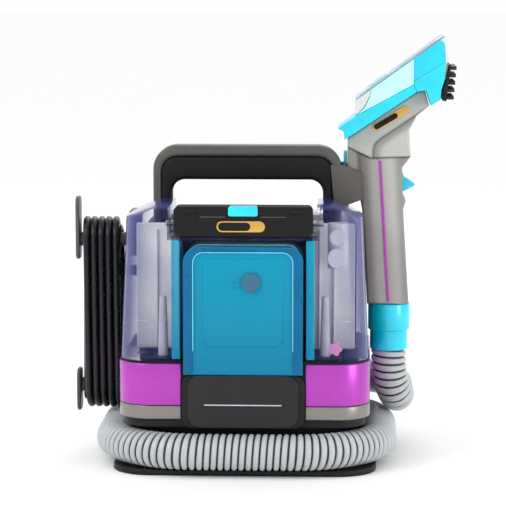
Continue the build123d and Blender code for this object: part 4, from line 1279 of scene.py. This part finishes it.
@dataclass
class CleaningTool(SubAssembly):
    """Pull-off tool with its window, spray nozzle and brush."""

    cell_front: float = -0.0265
    cell_back: float = 0.0345
    pane_proud: float = 0.0002
    front_reach: float = -0.0228
    rear_reach: float = 0.0308
    shallow: float = 0.0010

    def build(self) -> None:
        """Stand the tool's pieces in for their frame nodes."""
        self.refine("tool_body", CYAN, "cyan_plastic", 1.2)
        self.refine("tool_window", CLEAR, "clear", 0.7)
        self.refine("brush_carrier", BLACK_SHELL, "black_plastic", 0.6)
        self.refine("bristle_tufts", BRISTLE, "bristle", 0.3)
        self.refine("spray_nozzle", CYAN, "cyan_plastic", 0.5)
        cell = Bench.prism("tool_front_cell", [(0.1690, 0.3800), (0.1915, 0.3795), (0.1940, 0.3925), (0.1930, 0.4100),
                                               (0.1905, 0.4135), (0.1690, 0.3995)],
                           self.cell_front, self.cell_back, 0.0008)
        self.keep(cell, DEEP_CYAN, "tool", "cyan_plastic")
        low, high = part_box("tool_window")
        for name, outside, inside in (("front", low.y - self.pane_proud, self.front_reach),
                                      ("rear", high.y + self.pane_proud, self.rear_reach)):
            self.side_window(name, outside, inside)

    def side_window(self, name: str, outside: float, inside: float) -> None:
        """Add the panes on one side of the tool.

        Args:
            name: Name of the side.
            outside: Y of the panes' outer face.
            inside: Y that the lower panes reach in to.
        """
        shallow = outside + math.copysign(self.shallow, inside - outside)
        panes = (("pale_pane", WINDOW_PALE, inside, [(0.1217, 0.3670), (0.1625, 0.3963), (0.1625, 0.3716),
                                                     (0.1072, 0.3416), (0.1149, 0.3487), (0.1198, 0.3588)]),
                 ("grey_pane", WINDOW_GREY, inside, [(0.1062, 0.3412), (0.1062, 0.3562), (0.1213, 0.3668),
                                                     (0.1193, 0.3590), (0.1143, 0.3492)]),
                 ("strip_pane", CYAN, inside, [(0.0957, 0.3174), (0.1655, 0.3642), (0.1627, 0.3713),
                                               (0.1070, 0.3410), (0.0890, 0.3284), (0.0947, 0.3256)]),
                 ("front_pane", DEEP_CYAN, shallow, [(0.1627, 0.3750), (0.1627, 0.3963), (0.1880, 0.4145),
                                                     (0.1907, 0.4118), (0.1927, 0.3934)]),
                 ("mouth_pane", CYAN, inside, [(0.1629, 0.3716), (0.1629, 0.3747), (0.1927, 0.3930),
                                               (0.1924, 0.3760), (0.1893, 0.3662), (0.1888, 0.3566),
                                               (0.1796, 0.3511), (0.1749, 0.3661), (0.1658, 0.3645)]),
                 ("window_rim", WINDOW_RIM, shallow, [(0.1063, 0.3566), (0.1072, 0.3562), (0.1918, 0.4175),
                                                      (0.1915, 0.4189)]))
        for kind, finish, depth, outline in panes:
            pane = Bench.prism(f"tool_{kind}_{name}", outline, min(outside, depth), max(outside, depth), 0.0003)
            self.keep(pane, finish, "tool", "cyan_plastic")


@dataclass
class Studio:
    """Pale floor, soft lights and the camera."""

    aim: Point = (0.0095, -0.107, 0.2152)
    azimuth: float = 2.5
    elevation: float = 7.0
    distance: float = 2.2
    view_width: float = 0.4807
    sensor: float = 36.0
    floor_side: float = 30.0
    floor_y: float = 9.0
    lamp_aim: Point = (0.0, 0.0, 0.18)

    def build(self) -> None:
        """Make the floor, lights and camera."""
        Bench.clear()
        bpy.ops.mesh.primitive_plane_add(size=self.floor_side, location=(0.0, self.floor_y, 0.0))
        floor = Bench.settle(bpy.context.object, "studio_floor")
        PALETTE.dress(floor, PAPER)
        world = bpy.data.worlds.new("studio_air")
        world.use_nodes = True
        air = world.node_tree.nodes["Background"].inputs
        air["Color"].default_value = (1.0, 1.0, 1.0, 1.0)
        air["Strength"].default_value = 1.0
        bpy.context.scene.world = world
        bpy.context.scene.view_settings.view_transform = "Standard"
        self.lamp("key_light", (-1.3, -1.2, 1.5), 0.9, 14.0)
        self.lamp("fill_light", (1.6, -1.0, 0.3), 0.7, 8.0)
        self.lamp("back_light", (0.2, 1.6, 1.6), 1.2, 8.0)
        self.camera()

    def lamp(self, name: str, place: Point, size: float, power: float) -> None:
        """Add a soft square light aimed at the machine.

        Args:
            name: Name of the light.
            place: Its place.
            size: Side of the square.
            power: Power in watts.
        """
        light = bpy.data.lights.new(name, "AREA")
        light.size = size
        light.energy = power
        holder = Bench.place(name, light)
        holder.location = place
        away = Vector(place) - Vector(self.lamp_aim)
        holder.rotation_euler = facing(away)

    def camera(self) -> None:
        """Place the camera."""
        turn, lift = math.radians(self.azimuth), math.radians(self.elevation)
        back = Vector((math.sin(turn) * math.cos(lift), -math.cos(turn) * math.cos(lift), math.sin(lift)))
        data = bpy.data.cameras.new("camera")
        data.sensor_width = self.sensor
        data.lens = self.sensor * self.distance / self.view_width
        holder = Bench.place("camera", data)
        holder.location = Vector(self.aim) + back * self.distance
        holder.rotation_euler = facing(back)
        bpy.context.scene.camera = holder


def main() -> None:
    """Build every sub-assembly in order."""
    logging.basicConfig(level=logging.INFO)
    Studio().build()
    PowerCord().build()
    SuctionHose().build()
    for assembly in (Base(), FrontPanel(), RearBody(), RecoveryTank(), SolutionTank(), CarryHandle(), HandWand(),
                     CleaningTool()):
        assembly.build()
    Bench.clear()


if __name__ == "__main__":
    main()
